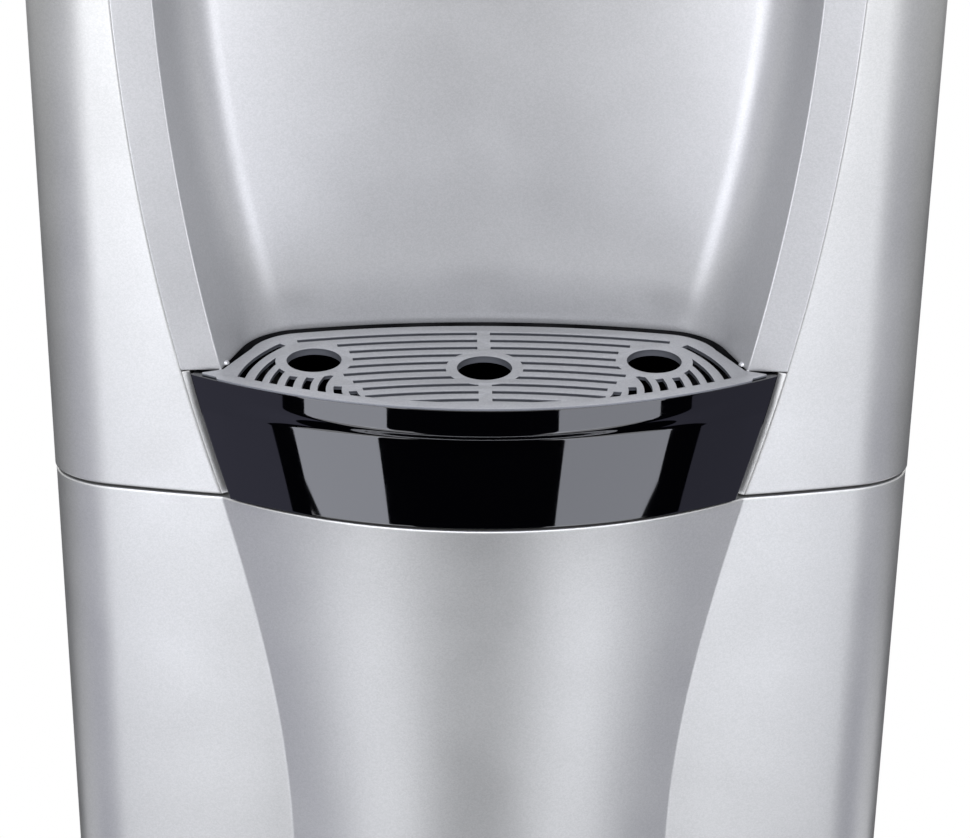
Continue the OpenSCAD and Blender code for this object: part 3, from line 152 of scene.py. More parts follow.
def mouldedPlastic(name, dark, light, rough, mottle=6.0, grain=0.0, ior=1.5):
    material, tree, shader, place = newMaterial(name)
    shader.inputs["IOR"].default_value = ior
    noise = addNode(tree, "ShaderNodeTexNoise", {"Scale": perMm(mottle), "Detail": 4.0}, {"Vector": place})
    twoTone(tree, shader, dark, light, noise)
    vary(tree, place, shader, plastic["wander"], *rough)
    if grain:
        ripple(tree, place, shader, grain, plastic["grainH"], plastic["grainBump"])
    return material


# metal parts: rolled, drawn or turned, with fine lines along one direction
metal = {"wander": 8.0}


def workedMetal(name, dark, light, rough, lines=(1.0, 1.0, 1.0), grain=0.6):
    material, tree, shader, place = newMaterial(name)
    shader.inputs["Metallic"].default_value = 1.0
    turn = addNode(tree, "ShaderNodeMapping", {"Scale": lines}, {"Vector": place})
    noise = addNode(tree, "ShaderNodeTexNoise", {"Scale": perMm(grain), "Detail": 3.0}, {"Vector": turn})
    twoTone(tree, shader, dark, light, noise)
    vary(tree, place, shader, metal["wander"], *rough)
    return material


paint = silverPaint("metallicSilverPaint", silverFinish)
# the same silver on the recess moulding, sprayed wetter, so its reflections are crisper; its tones are a
# little lighter than the panel's, painted light that brightens the shaded recess
recessFinishWithPaintedLight = dict(silverFinish, dark="#a9a9a9", light="#b3b3b3", metallic=0.55, rough=(0.29, 0.35))
recessPaintWithPaintedLight = silverPaint("metallicSilverWetCoatPaintedLight", recessFinishWithPaintedLight)
# satin silver-grey moulding of the grille, duller than the paint, with painted shade that darkens its upright
# slot walls
grilleFinish = dict(silverFinish, dark="#8b8b8b", light="#949493", flake=0.5, metallic=0.35,
                    rough=(0.42, 0.5), peel=1.2, wallShade="#66686d")
grillePaint = silverPaint("satinSilverGrilleAbs", grilleFinish)
# polished black ABS: nearly mirror-smooth, reflects the studio sharply
blackGloss = mouldedPlastic("polishedBlackAbs", "#010102", "#020203", (0.02, 0.035), 40.0, 0.0, 1.7)
# housings and liners are satin, with the grain of their tool, rubber and the tray's well are matt; the well
# is a black moulding made blacker still as painted shade for the gap behind the grille
darkAbs = mouldedPlastic("mouldedDarkAbs", "#2b2c2f", "#333437", (0.4, 0.5), 5.0, 0.9)
whiteAbs = mouldedPlastic("mouldedWhiteAbs", "#dcdcda", "#e4e4e2", (0.35, 0.45), 8.0, 1.5)
shelfAbs = mouldedPlastic("mouldedLightGreyAbs", "#c9cac9", "#d2d3d2", (0.35, 0.45), 8.0, 1.5)
rubber = mouldedPlastic("mouldedBlackRubber", "#141414", "#1d1d1d", (0.7, 0.85), 2.0, 0.6)
blackPlastic = mouldedPlastic("mouldedBlackNylon", "#101011", "#18181a", (0.35, 0.45), 4.0, 0.8)
wellBlackShade = mouldedPlastic("mattBlackAbsWithPaintedShade", "#060607", "#0a0a0b", (0.6, 0.7), 4.0, 0.0, 1.15)
# caps and plugs: smooth and glossy, in a clear colour
blueAbs = mouldedPlastic("mouldedBlueAbs", "#1f4f96", "#23579f", (0.16, 0.22), 12.0)
greyAbs = mouldedPlastic("mouldedPaleGreyAbs", "#c4c6c8", "#cccecf", (0.16, 0.22), 12.0)
redAbs = mouldedPlastic("mouldedRedAbs", "#a8201f", "#b22725", (0.16, 0.22), 12.0)
greenAbs = mouldedPlastic("mouldedGreenAbs", "#1f8a45", "#25934c", (0.16, 0.22), 12.0)
# lens and board with a sheen, beady matt foam, milky hose, black enamel with a soft gloss
lensAbs = mouldedPlastic("clearTintedLens", "#bfe3c4", "#c9ebce", (0.05, 0.09), 3.0, 0.0, 1.49)
boardGreen = mouldedPlastic("greenCircuitBoard", "#1d5a2b", "#246934", (0.3, 0.42), 3.0)
foam = mouldedPlastic("expandedPolystyrene", "#e6e6e2", "#f1f1ee", (0.75, 0.9), 3.2, 2.4)
hoseSilicone = mouldedPlastic("milkySiliconeHose", "#d3d8d8", "#dee2e2", (0.25, 0.35), 4.0)
blackEnamel = mouldedPlastic("stovedBlackEnamel", "#0e0e0f", "#141415", (0.25, 0.36), 3.0, 2.0)
# metals: spangled sheet, brushed tanks, turned steel and copper dulled by handling
zincSheet = workedMetal("zincCoatedSheet", "#a9acae", "#bcbfc1", (0.36, 0.5), (1.0, 1.0, 1.0), 9.0)
stainless = workedMetal("drawnStainlessSteel", "#b5b5b6", "#c6c6c7", (0.24, 0.34), (1.0, 1.0, 0.05), 0.5)
turnedSteel = workedMetal("turnedSteel", "#9c9c9e", "#b2b2b4", (0.26, 0.36), (1.0, 1.0, 0.2), 0.4)
copper = workedMetal("drawnCopperTube", "#b0683f", "#c67a4d", (0.26, 0.38), (1.0, 1.0, 1.0), 3.0)
print("materials:", len(bpy.data.materials))


weld = {"made": 0.004, "carried": 0.002}  # points closer than this many millimetres are one


def addObject(name, data):
    thing = bpy.data.objects.new(name, data)
    bpy.context.scene.collection.objects.link(thing)
    return thing


def mergeDoubles(mesh, distance, closed=False):
    work = bmesh.new()
    work.from_mesh(mesh)
    bmesh.ops.remove_doubles(work, verts=work.verts, dist=distance * mm)
    if closed:
        bmesh.ops.recalc_face_normals(work, faces=work.faces)
    work.to_mesh(mesh)
    work.free()


def softShade(piece, sharp=32.0):
    piece.data.shade_smooth()
    piece.data.set_sharp_from_angle(angle=radians(sharp))


def makePiece(name, points, faces, material, closed=False):
    mesh = bpy.data.meshes.new(name)
    mesh.from_pydata([[c * mm for c in p] for p in points], [], faces)
    mergeDoubles(mesh, weld["made"], closed)
    piece = addObject(name, mesh)
    mesh.materials.append(material)
    softShade(piece)
    return piece


def settle(piece, sharp=32.0):  # turns modifiers into a plain mesh and takes away what cut it
    bpy.context.view_layer.update()
    seen = piece.evaluated_get(bpy.context.evaluated_depsgraph_get())
    mesh = bpy.data.meshes.new_from_object(seen)
    old = piece.data
    cutters = [change.object for change in piece.modifiers if change.type == "BOOLEAN"]
    piece.modifiers.clear()
    piece.data = mesh
    bpy.data.meshes.remove(old)
    for cutter in cutters:
        bpy.data.objects.remove(cutter)
    softShade(piece, sharp)
    return piece


def easeEdges(piece, radius, steps=2, angle=40.0):
    edge = piece.modifiers.new("edge", "BEVEL")
    edge.width = radius * mm
    edge.segments = steps
    edge.limit_method = "ANGLE"
    edge.angle_limit = radians(angle)
    edge.use_clamp_overlap = True


def shelled(piece, size, steps=2):  # gives a sheet its wall and eased edges
    wall = piece.modifiers.new("wall", "SOLIDIFY")
    wall.thickness = size["wall"] * mm
    wall.offset = -1.0
    wall.use_even_offset = True
    easeEdges(piece, size["edge"], steps)
    return settle(piece)


def carve(piece, *cutters):
    for cutter in cutters:
        cut = piece.modifiers.new("cut", "BOOLEAN")
        cut.operation = "DIFFERENCE"
        cut.solver = "EXACT"
        cut.object = cutter


def seat(piece, bodyName, slotName, *nodes):
    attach(piece, bodyName)
    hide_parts(*nodes)


def joined(piece, *others):
    for other in others:
        other.data.materials.clear()
        other.data.materials.append(piece.data.materials[0])
    work = bmesh.new()
    for one in (piece,) + others:
        work.from_mesh(one.data)
    work.to_mesh(piece.data)
    work.free()
    for other in others:
        bpy.data.objects.remove(other)
    softShade(piece)
    return piece


def revolved(name, profile, cy, z0, material, steps=128):
    n = len(profile)
    points = [(r * cos(a), cy + r * sin(a), z0 + z)
              for a in spread(0.0, 2 * pi, steps)[:-1] for r, z in profile]
    faces = [(k * n + i, ((k + 1) % steps) * n + i, ((k + 1) % steps) * n + (i + 1) % n, k * n + (i + 1) % n)
             for k in range(steps) for i in range(n)]
    return makePiece(name, points, faces, material, closed=True)


def shifted(piece, x, y=0.0):
    piece.data.transform(Matrix.Translation((x * mm, y * mm, 0.0)))
    return piece


def gridFaces(rows, columns, first=0):
    return [(first + i * columns + j, first + i * columns + j + 1,
             first + (i + 1) * columns + j + 1, first + (i + 1) * columns + j)
            for i in range(rows - 1) for j in range(columns - 1)]


def tubeFaces(rows, n, first=0):  # closed loops of n points each, with a cap at both ends
    last = first + (rows - 1) * n
    seam = [(first + i * n + n - 1, first + i * n, first + (i + 1) * n, first + (i + 1) * n + n - 1)
            for i in range(rows - 1)]
    caps = [tuple(range(first, first + n))[::-1], tuple(range(last, last + n))]
    return gridFaces(rows, n, first) + seam + caps


def stacked(rows, levels):
    return [(p[0], p[1], z) for row, z in zip(rows, levels) for p in row]


def lofted(name, rows, levels, material):  # solid through outlines of as many points each
    faces = tubeFaces(len(rows), len(rows[0]))
    return makePiece(name, stacked(rows, levels), faces, material, closed=True)


def prism(name, outline, z0, z1, material):
    return lofted(name, [outline] * 2, (z0, z1), material)


def spread(a, b, n):
    return [a + (b - a) * i / n for i in range(n + 1)]


def held(a, b, n, near):  # spread, with a loop near each end that keeps an eased edge's shading narrow
    return [a] + spread(a + near, b - near, n) + [b]


def easedLevels(z, radius, way, steps):  # heights and insets of a rounded edge that ends at z
    return [(z - way * radius * (1 - sin(t)), radius * (1 - cos(t)))
            for t in spread(0.0, pi / 2, steps)]


def arcAt(cx, cy, r, a0, a1, n):
    return [(cx + r * cos(a), cy + r * sin(a)) for a in spread(a0, a1, n)]


def mouthX(z, inset):
    b = body
    return b["mouthW"] / 2 - b["mouthR"] + sqrt((b["mouthR"] - inset) ** 2 - (z - b["mouthZ"]) ** 2)


def faceY(x):
    return body["faceCy"] - sqrt(body["faceR"] ** 2 - x * x)


def cornerRun(inset, yEnd, side, shy=0.0):  # corner and side of the body's plan, from front to rear
    b = body
    radius, half, a = b["faceR"] - inset, b["halfW"] - inset - shy, b["cornerA"]
    start = Vector((radius * cos(a), b["faceCy"] + radius * sin(a)))
    tip = Vector((half, start.y - (half - start.x) / tan(a)))
    end = Vector((half, tip.y + b["cornerBack"] - inset))
    # an elliptic turn, slow where it leaves the face and quick before the side
    run = []
    for t in spread(0.0, 1.0, 16):
        u, v, w = (1 - t) ** 2, 2 * cos(a / 2) * t * (1 - t), t * t
        run.append(tuple((start * u + tip * v + end * w) / (u + v + w)))
    run += [(half, y) for y in spread(end.y, yEnd, side)[1:]]
    return run


def mirrored(points):
    return [(-x, y) for x, y in reversed(points)]


# upper front: painted shell with the flared mouth
frontPanel = {"wall": 3.0, "edge": 0.45, "near": 1.0, "rows": 80, "cheek": 16, "brow": 48}


def buildFrontPanel(size):
    b = body
    tangent = b["faceR"] * cos(b["cornerA"])

    def rightRun(z):
        x0 = mouthX(min(z, b["headTop"]), 0.0)
        across = [x0] + spread(x0 + size["near"], tangent, size["cheek"])[:-1]
        return [(x, faceY(x)) for x in across] + cornerRun(0.0, b["partY"], 6)

    points, faces = [], []
    levels = held(b["panelZ"], b["headTop"], size["rows"], size["near"])
    for turn in (lambda run: run, mirrored):
        rows = [turn(rightRun(z)) for z in levels]
        first = len(points)
        points += stacked(rows, levels)
        faces += gridFaces(len(levels), len(rows[0]), first)
    run = rightRun(b["headTop"])
    x0 = run[0][0]
    across = mirrored(run) + [(x, faceY(x)) for x in spread(-x0, x0, size["brow"])[1:-1]] + run
    first = len(points)
    browLevels = spread(b["headTop"], b["coverZ"], 6)
    points += stacked([across] * len(browLevels), browLevels)
    faces += gridFaces(len(browLevels), len(across), first)
    piece = makePiece("frontPanel", points, faces, paint)
    seat(shelled(piece, size), "cabinet", "silver_abs", "front_panel")


buildFrontPanel(frontPanel)

# recess moulding: a band sunk a little in the mouth, leaning sides, round corners and a bowed back
recess = {"tuck": 0.3, "sunk": 0.35, "bandW": 14.4, "bandD": 0.6, "lean": 19.2, "cornerR": 24.0,
          "backR": 345.0, "backY": -98.2, "wall": 2.5, "edge": 0.3, "ridge": 0.8, "rows": 60, "near": 0.6,
          "bottom": 599.8, "top": body["headZ"] - body["fit"],
          "stopR": 1.6, "stopH": 1.28, "stopAt": 4.8, "stopIn": 0.53}


def recessRun(size, z, off):
    x = mouthX(z, -size["tuck"])
    outer = (x, faceY(x) + size["sunk"])
    inner = (outer[0] - size["bandW"], outer[1] + size["bandD"])
    lean = radians(size["lean"])
    along, normal = (-sin(lean), cos(lean)), (-cos(lean), -sin(lean))
    cy = size["backY"] - size["backR"]
    # the corner's centre goes along the side until its arc touches the back
    near = (inner[0] + size["cornerR"] * normal[0], inner[1] + size["cornerR"] * normal[1] - cy)
    ahead = near[0] * along[0] + near[1] * along[1]
    past = near[0] ** 2 + near[1] ** 2 - (size["backR"] - size["cornerR"]) ** 2
    step = sqrt(ahead * ahead - past) - ahead
    centre = (near[0] + step * along[0], near[1] + cy + step * along[1])
    turn = atan2(centre[1] - cy, centre[0])
    start = (inner[0] - off * normal[0], inner[1] - off * normal[1])
    corner = arcAt(centre[0], centre[1], size["cornerR"] + off, lean, turn, 18)
    back = arcAt(0.0, cy, size["backR"] + off, turn, pi / 2, 20)[1:]
    return outer, start, corner, back


def roundedTurn(a, p, c, r, n):  # small arc that takes the corner at p off the path a, p, c
    toA = Vector((a[0] - p[0], a[1] - p[1])).normalized()
    toC = Vector((c[0] - p[0], c[1] - p[1])).normalized()
    half = toA.angle(toC) / 2
    middle = Vector(p) + (toA + toC).normalized() * (r / sin(half))
    p0, p1 = Vector(p) + toA * r / tan(half), Vector(p) + toC * r / tan(half)
    a0 = atan2(p0.y - middle.y, p0.x - middle.x)
    a1 = atan2(p1.y - middle.y, p1.x - middle.x)
    a1 += 2 * pi * round((a0 - a1) / (2 * pi))
    return arcAt(middle.x, middle.y, r, a0, a1, n)


def between(p, q, shares):
    return [(p[0] + (q[0] - p[0]) * t, p[1] + (q[1] - p[1]) * t) for t in shares]


def bothSides(right):  # a right half from the middle outwards, carried over to the left
    return mirrored(right) + right[1:]


def buildRecess(size):
    rows = []
    levels = held(size["bottom"], size["top"], size["rows"], size["near"])
    for z in levels:
        outer, start, corner, back = recessRun(size, z, 0.0)
        ridge = roundedTurn(outer, start, corner[0], size["ridge"], 6)
        half = between(outer, ridge[0], (0.0, 0.06, 0.25, 0.5, 0.75, 0.97)) + ridge
        half += between(ridge[-1], corner[0], (0.03, 0.25, 0.5, 0.75)) + corner + back
        rows.append(bothSides(half[::-1]))
    faces = gridFaces(len(levels), len(rows[0]))
    piece = makePiece("recessPanel", stacked(rows, levels), faces, recessPaintWithPaintedLight)
    shelled(piece, size)
    # small moulded stops low in the two corners
    outer, start, corner, back = recessRun(size, size["bottom"], size["stopIn"])
    along = Vector((corner[0][0] - start[0], corner[0][1] - start[1])).normalized() * size["stopAt"]
    r, h = size["stopR"], size["stopH"]
    profile = [(0.0, 0.0)] + [(r * cos(t), h * sin(t)) for t in spread(0.0, pi / 2, 8)]
    stops = []
    for side in (-1, 1):
        stop = revolved("recessStop", profile, 0.0, body["grilleZ"], paint, 24)
        stops.append(shifted(stop, side * (start[0] + along.x), start[1] + along.y))
    seat(joined(piece, *stops), "cabinet", "recess_abs", "recess_panel")


buildRecess(recess)

# trims beside the tray that carry the band's edge down, their faces slanted inwards
jambs = {"w": 2.9, "edge": 0.3, "near": 0.6, "deep": 6.0, "slant": 1.6, "step": 0.2, "rows": 24}


def buildJambs(size):
    levels = held(body["panelZ"], body["trayZ"], size["rows"], size["near"])
    points, faces = [], []
    for side in (1, -1):
        first = len(points)
        for z in levels:
            x = mouthX(z, 0.0)
            y = faceY(x)
            out, inside = (x, y + size["step"]), (x - size["w"], y + size["slant"])
            section = [out] + between(out, inside, (0.12, 0.88)) + [inside]
            section += [(x - size["w"], y + size["deep"]), (x, y + size["deep"])]
            points += [(side * p[0], p[1], z) for p in section]
        faces += tubeFaces(len(levels), len(section), first)
    piece = makePiece("jambTrims", points, faces, paint, closed=True)
    easeEdges(piece, size["edge"])
    seat(settle(piece), "cabinet", "recess_abs", "jamb_trims")


buildJambs(jambs)

# drip tray: bowed front with a lip, a finger groove under it and a basin behind
tray = {"bottom": body["panelZ"], "lip": 586.2, "top": body["trayZ"], "draft": 2.7, "groove": 2.6,
        "grooveHalf": 92.0, "turn": 3.6, "turnOut": 6.0, "wall": 4.0, "side": 3.3, "edge": 0.25, "near": 0.4,
        "columns": 120, "floor": 560.8, "floorT": 3.0, "basinWall": 2.0, "basinIn": 4.3, "basinTop": 597.4,
        "lap": 0.5, "search": 0.1}


def trayRadius(size, z):
    rise = min(1.0, (z - size["bottom"]) / (size["lip"] - size["bottom"]))
    return body["bowR"] - size["draft"] * (1.0 - rise)


def trayY(size, x, z):
    r = trayRadius(size, z)
    y = body["bowCy"] - sqrt(r * r - x * x)
    off = min(1.0, (x / size["grooveHalf"]) ** 2)
    deep = (z - size["bottom"]) / (size["lip"] - size["bottom"])
    if deep > 1.0:
        # the turn under the lip is tight in the middle and runs out towards the sides
        t = min(1.0, (z - size["lip"]) / (size["turn"] + size["turnOut"] * off))
        deep = 1.0 - t * t * (3 - 2 * t)
    return y + size["groove"] * (1.0 - off) * deep


def buildTray(size):
    near, turned = size["near"], size["lip"] + size["turn"]
    levels = [size["bottom"]] + spread(size["bottom"] + near, size["lip"] - near, 24)
    levels += spread(size["lip"], turned, 16) + spread(turned + near, size["top"] - near, 14) + [size["top"]]
    points = []
    for z in levels:
        half = mouthX(z, size["side"])
        points += [(x, trayY(size, x, z), z) for x in held(-half, half, size["columns"], near)]
    front = makePiece("dripTray", points, gridFaces(len(levels), size["columns"] + 3), blackGloss)
    shelled(front, size, 3)
    # basin that hangs behind the front wall, its sides drawn out until they meet it
    lean = radians(recess["lean"])
    r = body["bowR"] - size["draft"] - size["wall"] + size["lap"]
    loops = []
    for off in (-size["basinIn"], -size["basinIn"] - size["basinWall"]):
        outer, start, corner, back = recessRun(recess, body["grilleZ"], off)
        tip, reach = start, 0.0
        while hypot(tip[0], tip[1] - body["bowCy"]) < r:
            reach += size["search"]
            tip = (start[0] + reach * sin(lean), start[1] - reach * cos(lean))
        a = atan2(tip[1] - body["bowCy"], tip[0])
        bow = arcAt(0.0, body["bowCy"], r, -pi / 2, a, 24)
        loops.append(bothSides(bow[:-1] + [tip, start] + corner + back)[:-1])
    outside, inside = loops
    low, rim = size["floor"], size["basinTop"]
    basin = lofted("trayBasin", (outside, outside, inside, inside), (low, rim, rim, low + size["floorT"]),
                   blackGloss)
    seat(joined(front, basin), "tray", "black_gloss", "drip_tray")


buildTray(tray)

# drip grille: the slots are swept along guide lines and cut from the plate by geometry nodes
grille = {"thick": 2.5, "web": 1.3, "collar": 1.6, "collarIn": 0.1, "flange": 0.7, "lap": 0.4, "gap": 3.6,
          "tip": 99.9, "flush": 93.6, "setBack": 1.3, "innerR": 193.7, "clear": 0.05, "neck": (-7.9, 2.9),
          "tipEase": 0.5, "neckEase": 2.0, "edge": 0.3, "sharp": 25.0, "margin": 4.9, "hole": 9.75,
          "ring": 13.7, "cutDepth": 4.0, "discDepth": 50.0, "pegDepth": 30.0, "slotW": 2.2, "slotPitch": 6.0,
          "slotR": 330.0, "slotStep": 12.5, "firstSlot": 28.5, "spine": 4.7,
          "slotEnds": (67.0, 52.5, 48.0, 47.0, 48.5, 49.5, 46.0, 42.5, 41.5, 41.0),
          "fanW": 2.9, "fanR": (53.0, 46.5, 41.0, 35.3, 29.3, 23.8, 18.3, 13.1), "fanAt": (33.0, -17.0),
          "fanStart": -60.0, "fanEnds": (42.5, 33.0, 24.0, 16.0, 17.0, 27.0, 6.0, -8.0)}


def grilleOutline(size, inner=False):  # inner is the plate that hangs inside the tray, under the flange
    b = body
    outer, start, corner, back = recessRun(recess, b["grilleZ"], -size["gap"])
    tipR = b["bowR"] - size["setBack"]
    tip = (size["tip"], b["bowCy"] - sqrt(tipR ** 2 - size["tip"] ** 2))
    neck = (tip[0] + size["neck"][0], tip[1] + size["neck"][1])
    turn = roundedTurn(tip, neck, corner[0], size["neckEase"], 6)
    if inner:
        turn = [p for p in turn if hypot(p[0], p[1] - b["bowCy"]) < size["innerR"] - size["clear"]]
        front = arcAt(0.0, b["bowCy"], size["innerR"], -pi / 2,
                      atan2(turn[0][1] - b["bowCy"], turn[0][0]), 60)
        return bothSides(front + turn + corner + back)[:-1]
    front = arcAt(0.0, b["bowCy"], b["bowR"], -pi / 2, -acos(size["flush"] / b["bowR"]), 60)
    ends = arcAt(0.0, b["bowCy"], tipR, -acos((size["flush"] + size["tipEase"]) / tipR),
                 -acos((size["tip"] - 2 * size["tipEase"]) / tipR), 4)
    ends += roundedTurn(ends[-1], tip, neck, size["tipEase"], 4)
    return bothSides(front + ends + turn + corner + back)[:-1]


def slotGuides(size):  # centre lines of the slots, with their widths
    points, edges, widths = [], [], []
    holeY = spouts[1][1]

    def run(line, width):
        for side in (1, -1):
            first = len(points)
            points.extend((side * x, y, body["grilleZ"] - size["thick"] / 2) for x, y in line)
            widths.extend([width] * len(line))
            edges.extend((first + i, first + i + 1) for i in range(len(line) - 1))

    for k, end in enumerate(size["slotEnds"]):
        r = size["slotR"] - k * size["slotStep"]
        cy = holeY + size["firstSlot"] - k * size["slotPitch"] - r
        run([(x, cy + sqrt(r * r - x * x)) for x in spread(size["spine"] / 2, end, 30)], size["slotW"])
    for r, end in zip(size["fanR"], size["fanEnds"]):
        cx, cy = size["fanAt"][0], holeY + size["fanAt"][1]
        run(arcAt(cx, cy, r, radians(size["fanStart"]), radians(end), 40), size["fanW"])
    return points, edges, widths


def plainMesh(name, points, edges, widths=None):
    mesh = bpy.data.meshes.new(name)
    mesh.from_pydata([[c * mm for c in p] for p in points], edges, [])
    if widths:
        mesh.attributes.new("slotWidth", "FLOAT", "POINT").data.foreach_set("value", widths)
    return addObject(name, mesh)


def newTree(name, shapes, measures, result):  # geometry tree with named inputs, its finish last
    tree = bpy.data.node_groups.new(name, "GeometryNodeTree")
    sockets = list(shapes.items()) + [(label, "Float") for label in measures] + [("Finish", "Material")]
    for label, kind in sockets:
        tree.interface.new_socket(label, in_out="INPUT", socket_type="NodeSocket" + kind)
    tree.interface.new_socket(result, in_out="OUTPUT", socket_type="NodeSocketGeometry")
    return tree, addNode(tree, "NodeGroupInput").outputs


def endTree(tree, given, geometry):
    real = addNode(tree, "GeometryNodeRealizeInstances", None, {"Geometry": geometry})
    finish = addNode(tree, "GeometryNodeSetMaterial", None,
                     {"Geometry": real, "Material": given["Finish"]})
    addNode(tree, "NodeGroupOutput", None, {0: finish})
    return tree


def slottedPlateTree(size, measures):
    shapes = {"Plate": "Geometry", "Slot guides": "Object", "Hole centres": "Object"}
    tree, given = newTree("slottedPlate", shapes, measures, "Grille")
    guides = addNode(tree, "GeometryNodeObjectInfo", None, {"Object": given["Slot guides"]})
    lines = addNode(tree, "GeometryNodeMeshToCurve", None, {"Mesh": guides.outputs["Geometry"]})
    upright = addNode(tree, "GeometryNodeSetCurveNormal", {"mode": "Z_UP"}, {"Curve": lines})
    width = addNode(tree, "GeometryNodeInputNamedAttribute", {"data_type": "FLOAT", "Name": "slotWidth"})
    profile = addNode(tree, "GeometryNodeCurvePrimitiveQuadrilateral", {"Width": mm},
                      {"Height": given["Cut depth"]})
    swept = addNode(tree, "GeometryNodeCurveToMesh", {"Fill Caps": True},
                    {"Curve": upright, "Profile Curve": profile, "Scale": width})
    disc = addNode(tree, "GeometryNodeMeshCylinder", {"Vertices": 360, "Depth": size["discDepth"] * mm},
                   {"Radius": given["Margin radius"]})
    spot = addNode(tree, "ShaderNodeCombineXYZ", {"Z": body["grilleZ"] * mm}, {"Y": given["Margin centre"]})
    margin = addNode(tree, "GeometryNodeTransform", None, {"Geometry": disc, "Translation": spot})
    inside = addNode(tree, "GeometryNodeMeshBoolean", {"operation": "INTERSECT", "solver": "MANIFOLD"},
                     {"Mesh 2": [swept, margin]})
    centres = addNode(tree, "GeometryNodeObjectInfo", None, {"Object": given["Hole centres"]})
    rounds = []
    for name in ("Ring radius", "Hole radius"):
        peg = addNode(tree, "GeometryNodeMeshCylinder", {"Vertices": 96, "Depth": size["pegDepth"] * mm},
                      {"Radius": given[name]})
        pegs = addNode(tree, "GeometryNodeInstanceOnPoints", None,
                       {"Points": centres.outputs["Geometry"], "Instance": peg})
        rounds.append(addNode(tree, "GeometryNodeRealizeInstances", None, {"Geometry": pegs}))
    subtract = {"operation": "DIFFERENCE", "solver": "MANIFOLD"}
    slots = addNode(tree, "GeometryNodeMeshBoolean", subtract, {"Mesh 1": inside, "Mesh 2": rounds[0]})
    cut = addNode(tree, "GeometryNodeMeshBoolean", subtract,
                  {"Mesh 1": given["Plate"], "Mesh 2": [slots, rounds[1]]})
    return endTree(tree, given, cut)


def dress(piece, tree, values):  # a tree on a piece, its inputs set by their identifiers, in millimetres
    modifier = piece.modifiers.new(tree.name, "NODES")
    modifier.node_group = tree
    for item in tree.interface.items_tree:
        if item.in_out == "INPUT" and item.name in values:
            value = values[item.name]
            modifier[item.identifier] = value * mm if isinstance(value, float) else value


def buildGrille(size):
    z = body["grilleZ"]
    guides = plainMesh("slotGuides", *slotGuides(size))
    centres = plainMesh("holeCentres", [(x, y, z) for x, y in spouts], [])
    measures = {"Cut depth": size["cutDepth"], "Margin radius": body["bowR"] - size["margin"],
                "Margin centre": body["bowCy"], "Hole radius": size["hole"], "Ring radius": size["ring"]}
    tree = slottedPlateTree(size, measures)
    others = {"Slot guides": guides, "Hole centres": centres, "Finish": grillePaint}
    flange = prism("dripGrille", grilleOutline(size), z - size["flange"], z, grillePaint)
    inside = grilleOutline(size, True)
    plate = prism("grillePlate", inside, z - size["web"], z - size["lap"] * size["flange"], grillePaint)
    for piece in (flange, plate):
        dress(piece, tree, measures | others)
    easeEdges(flange, size["edge"], angle=35.0)
    for piece in (flange, plate):
        settle(piece, size["sharp"])
    for helper in (guides, centres):
        bpy.data.objects.remove(helper)
    low, top = -size["thick"], size["collarIn"] - size["web"]
    r, wide = size["hole"], size["hole"] + size["collar"]
    collars = []
    for x, y in spouts:
        rim = revolved("holeCollar", [(r, low), (wide, low), (wide, top), (r, top)], y, z, grillePaint, 96)
        collars.append(shifted(rim, x))
    seat(joined(flange, plate, *collars), "grille", "grille_abs", "drip_grille")


buildGrille(grille)
print("front, recess, tray and grille made")

# cabinet door: the body's plan with a waisted column that flares up to the tray
door = {"bottom": 44.0, "top": 550.5, "back": -96.1, "columnR": 176.4, "columnCy": 16.7, "waistZ": 397.0,
        "flareR": 1540.0, "proud": 14.2, "rise": 4.7, "turn": 4.87, "crease": 4.0, "edge": 0.6, "shy": 0.4,
        "near": 0.3, "rows": 90, "hinge": (144.8, -105.5), "hingeR": 11.5,
        "pocket": (-157.3, -146.3, -110.1, -90.0, 357.7, 467.7), "pocketEase": 2.0}


def columnArc(size, z):  # radius and centre: the creases follow the solid, the front swells late and fast
    b = body
    up = max(0.0, z - size["waistZ"])
    solid = size["columnR"] + up * up / (2 * size["flareR"])
    crease = 2 * (solid + b["frontY"] - size["columnCy"]) / (1 / solid - 1 / b["faceR"])
    proud = size["proud"] + size["rise"] * (up / (size["top"] - size["waistZ"])) ** size["turn"]
    radius = 1 / (2 * proud / crease + 1 / b["faceR"])
    return radius, b["frontY"] - proud + radius


def doorRun(size, z, inset):
    b = body
    radius, cy = columnArc(size, z)
    columnR, faceR, hollowR = radius - inset, b["faceR"] - inset, size["crease"]
    # centre of the hollow that joins the column to the face
    apart = b["faceCy"] - cy
    up = ((columnR + hollowR) ** 2 - (faceR + hollowR) ** 2 + apart * apart) / (2 * apart)
    x, y = sqrt((columnR + hollowR) ** 2 - up * up), cy + up
    aColumn = atan2(y - cy, x)
    aFace = atan2(y - b["faceCy"], x)
    front = arcAt(0.0, cy, columnR, -pi / 2, aColumn, 40)
    front += arcAt(x, y, hollowR, aColumn + pi, aFace + pi, 8)[1:]
    front += arcAt(0.0, b["faceCy"], faceR, aFace, b["cornerA"], 16)[1:-1]
    right = front + cornerRun(inset, size["hinge"][1], 4, size["shy"])
    left = front + cornerRun(inset, size["back"], 4, size["shy"])
    knuckle = size["hingeR"] - size["shy"] - inset
    turn = asin((size["back"] - size["hinge"][1]) / knuckle)
    hinge = arcAt(size["hinge"][0], size["hinge"][1], knuckle, 0.0, turn, 8)[1:]
    return mirrored(left) + right[1:] + hinge


def boxPiece(name, ends, ease):
    x0, x1, y0, y1, z0, z1 = ends
    piece = prism(name, [(x0, y0), (x1, y0), (x1, y1), (x0, y1)], z0, z1, paint)
    if ease:
        easeEdges(piece, ease, 3)
        settle(piece)
    return piece


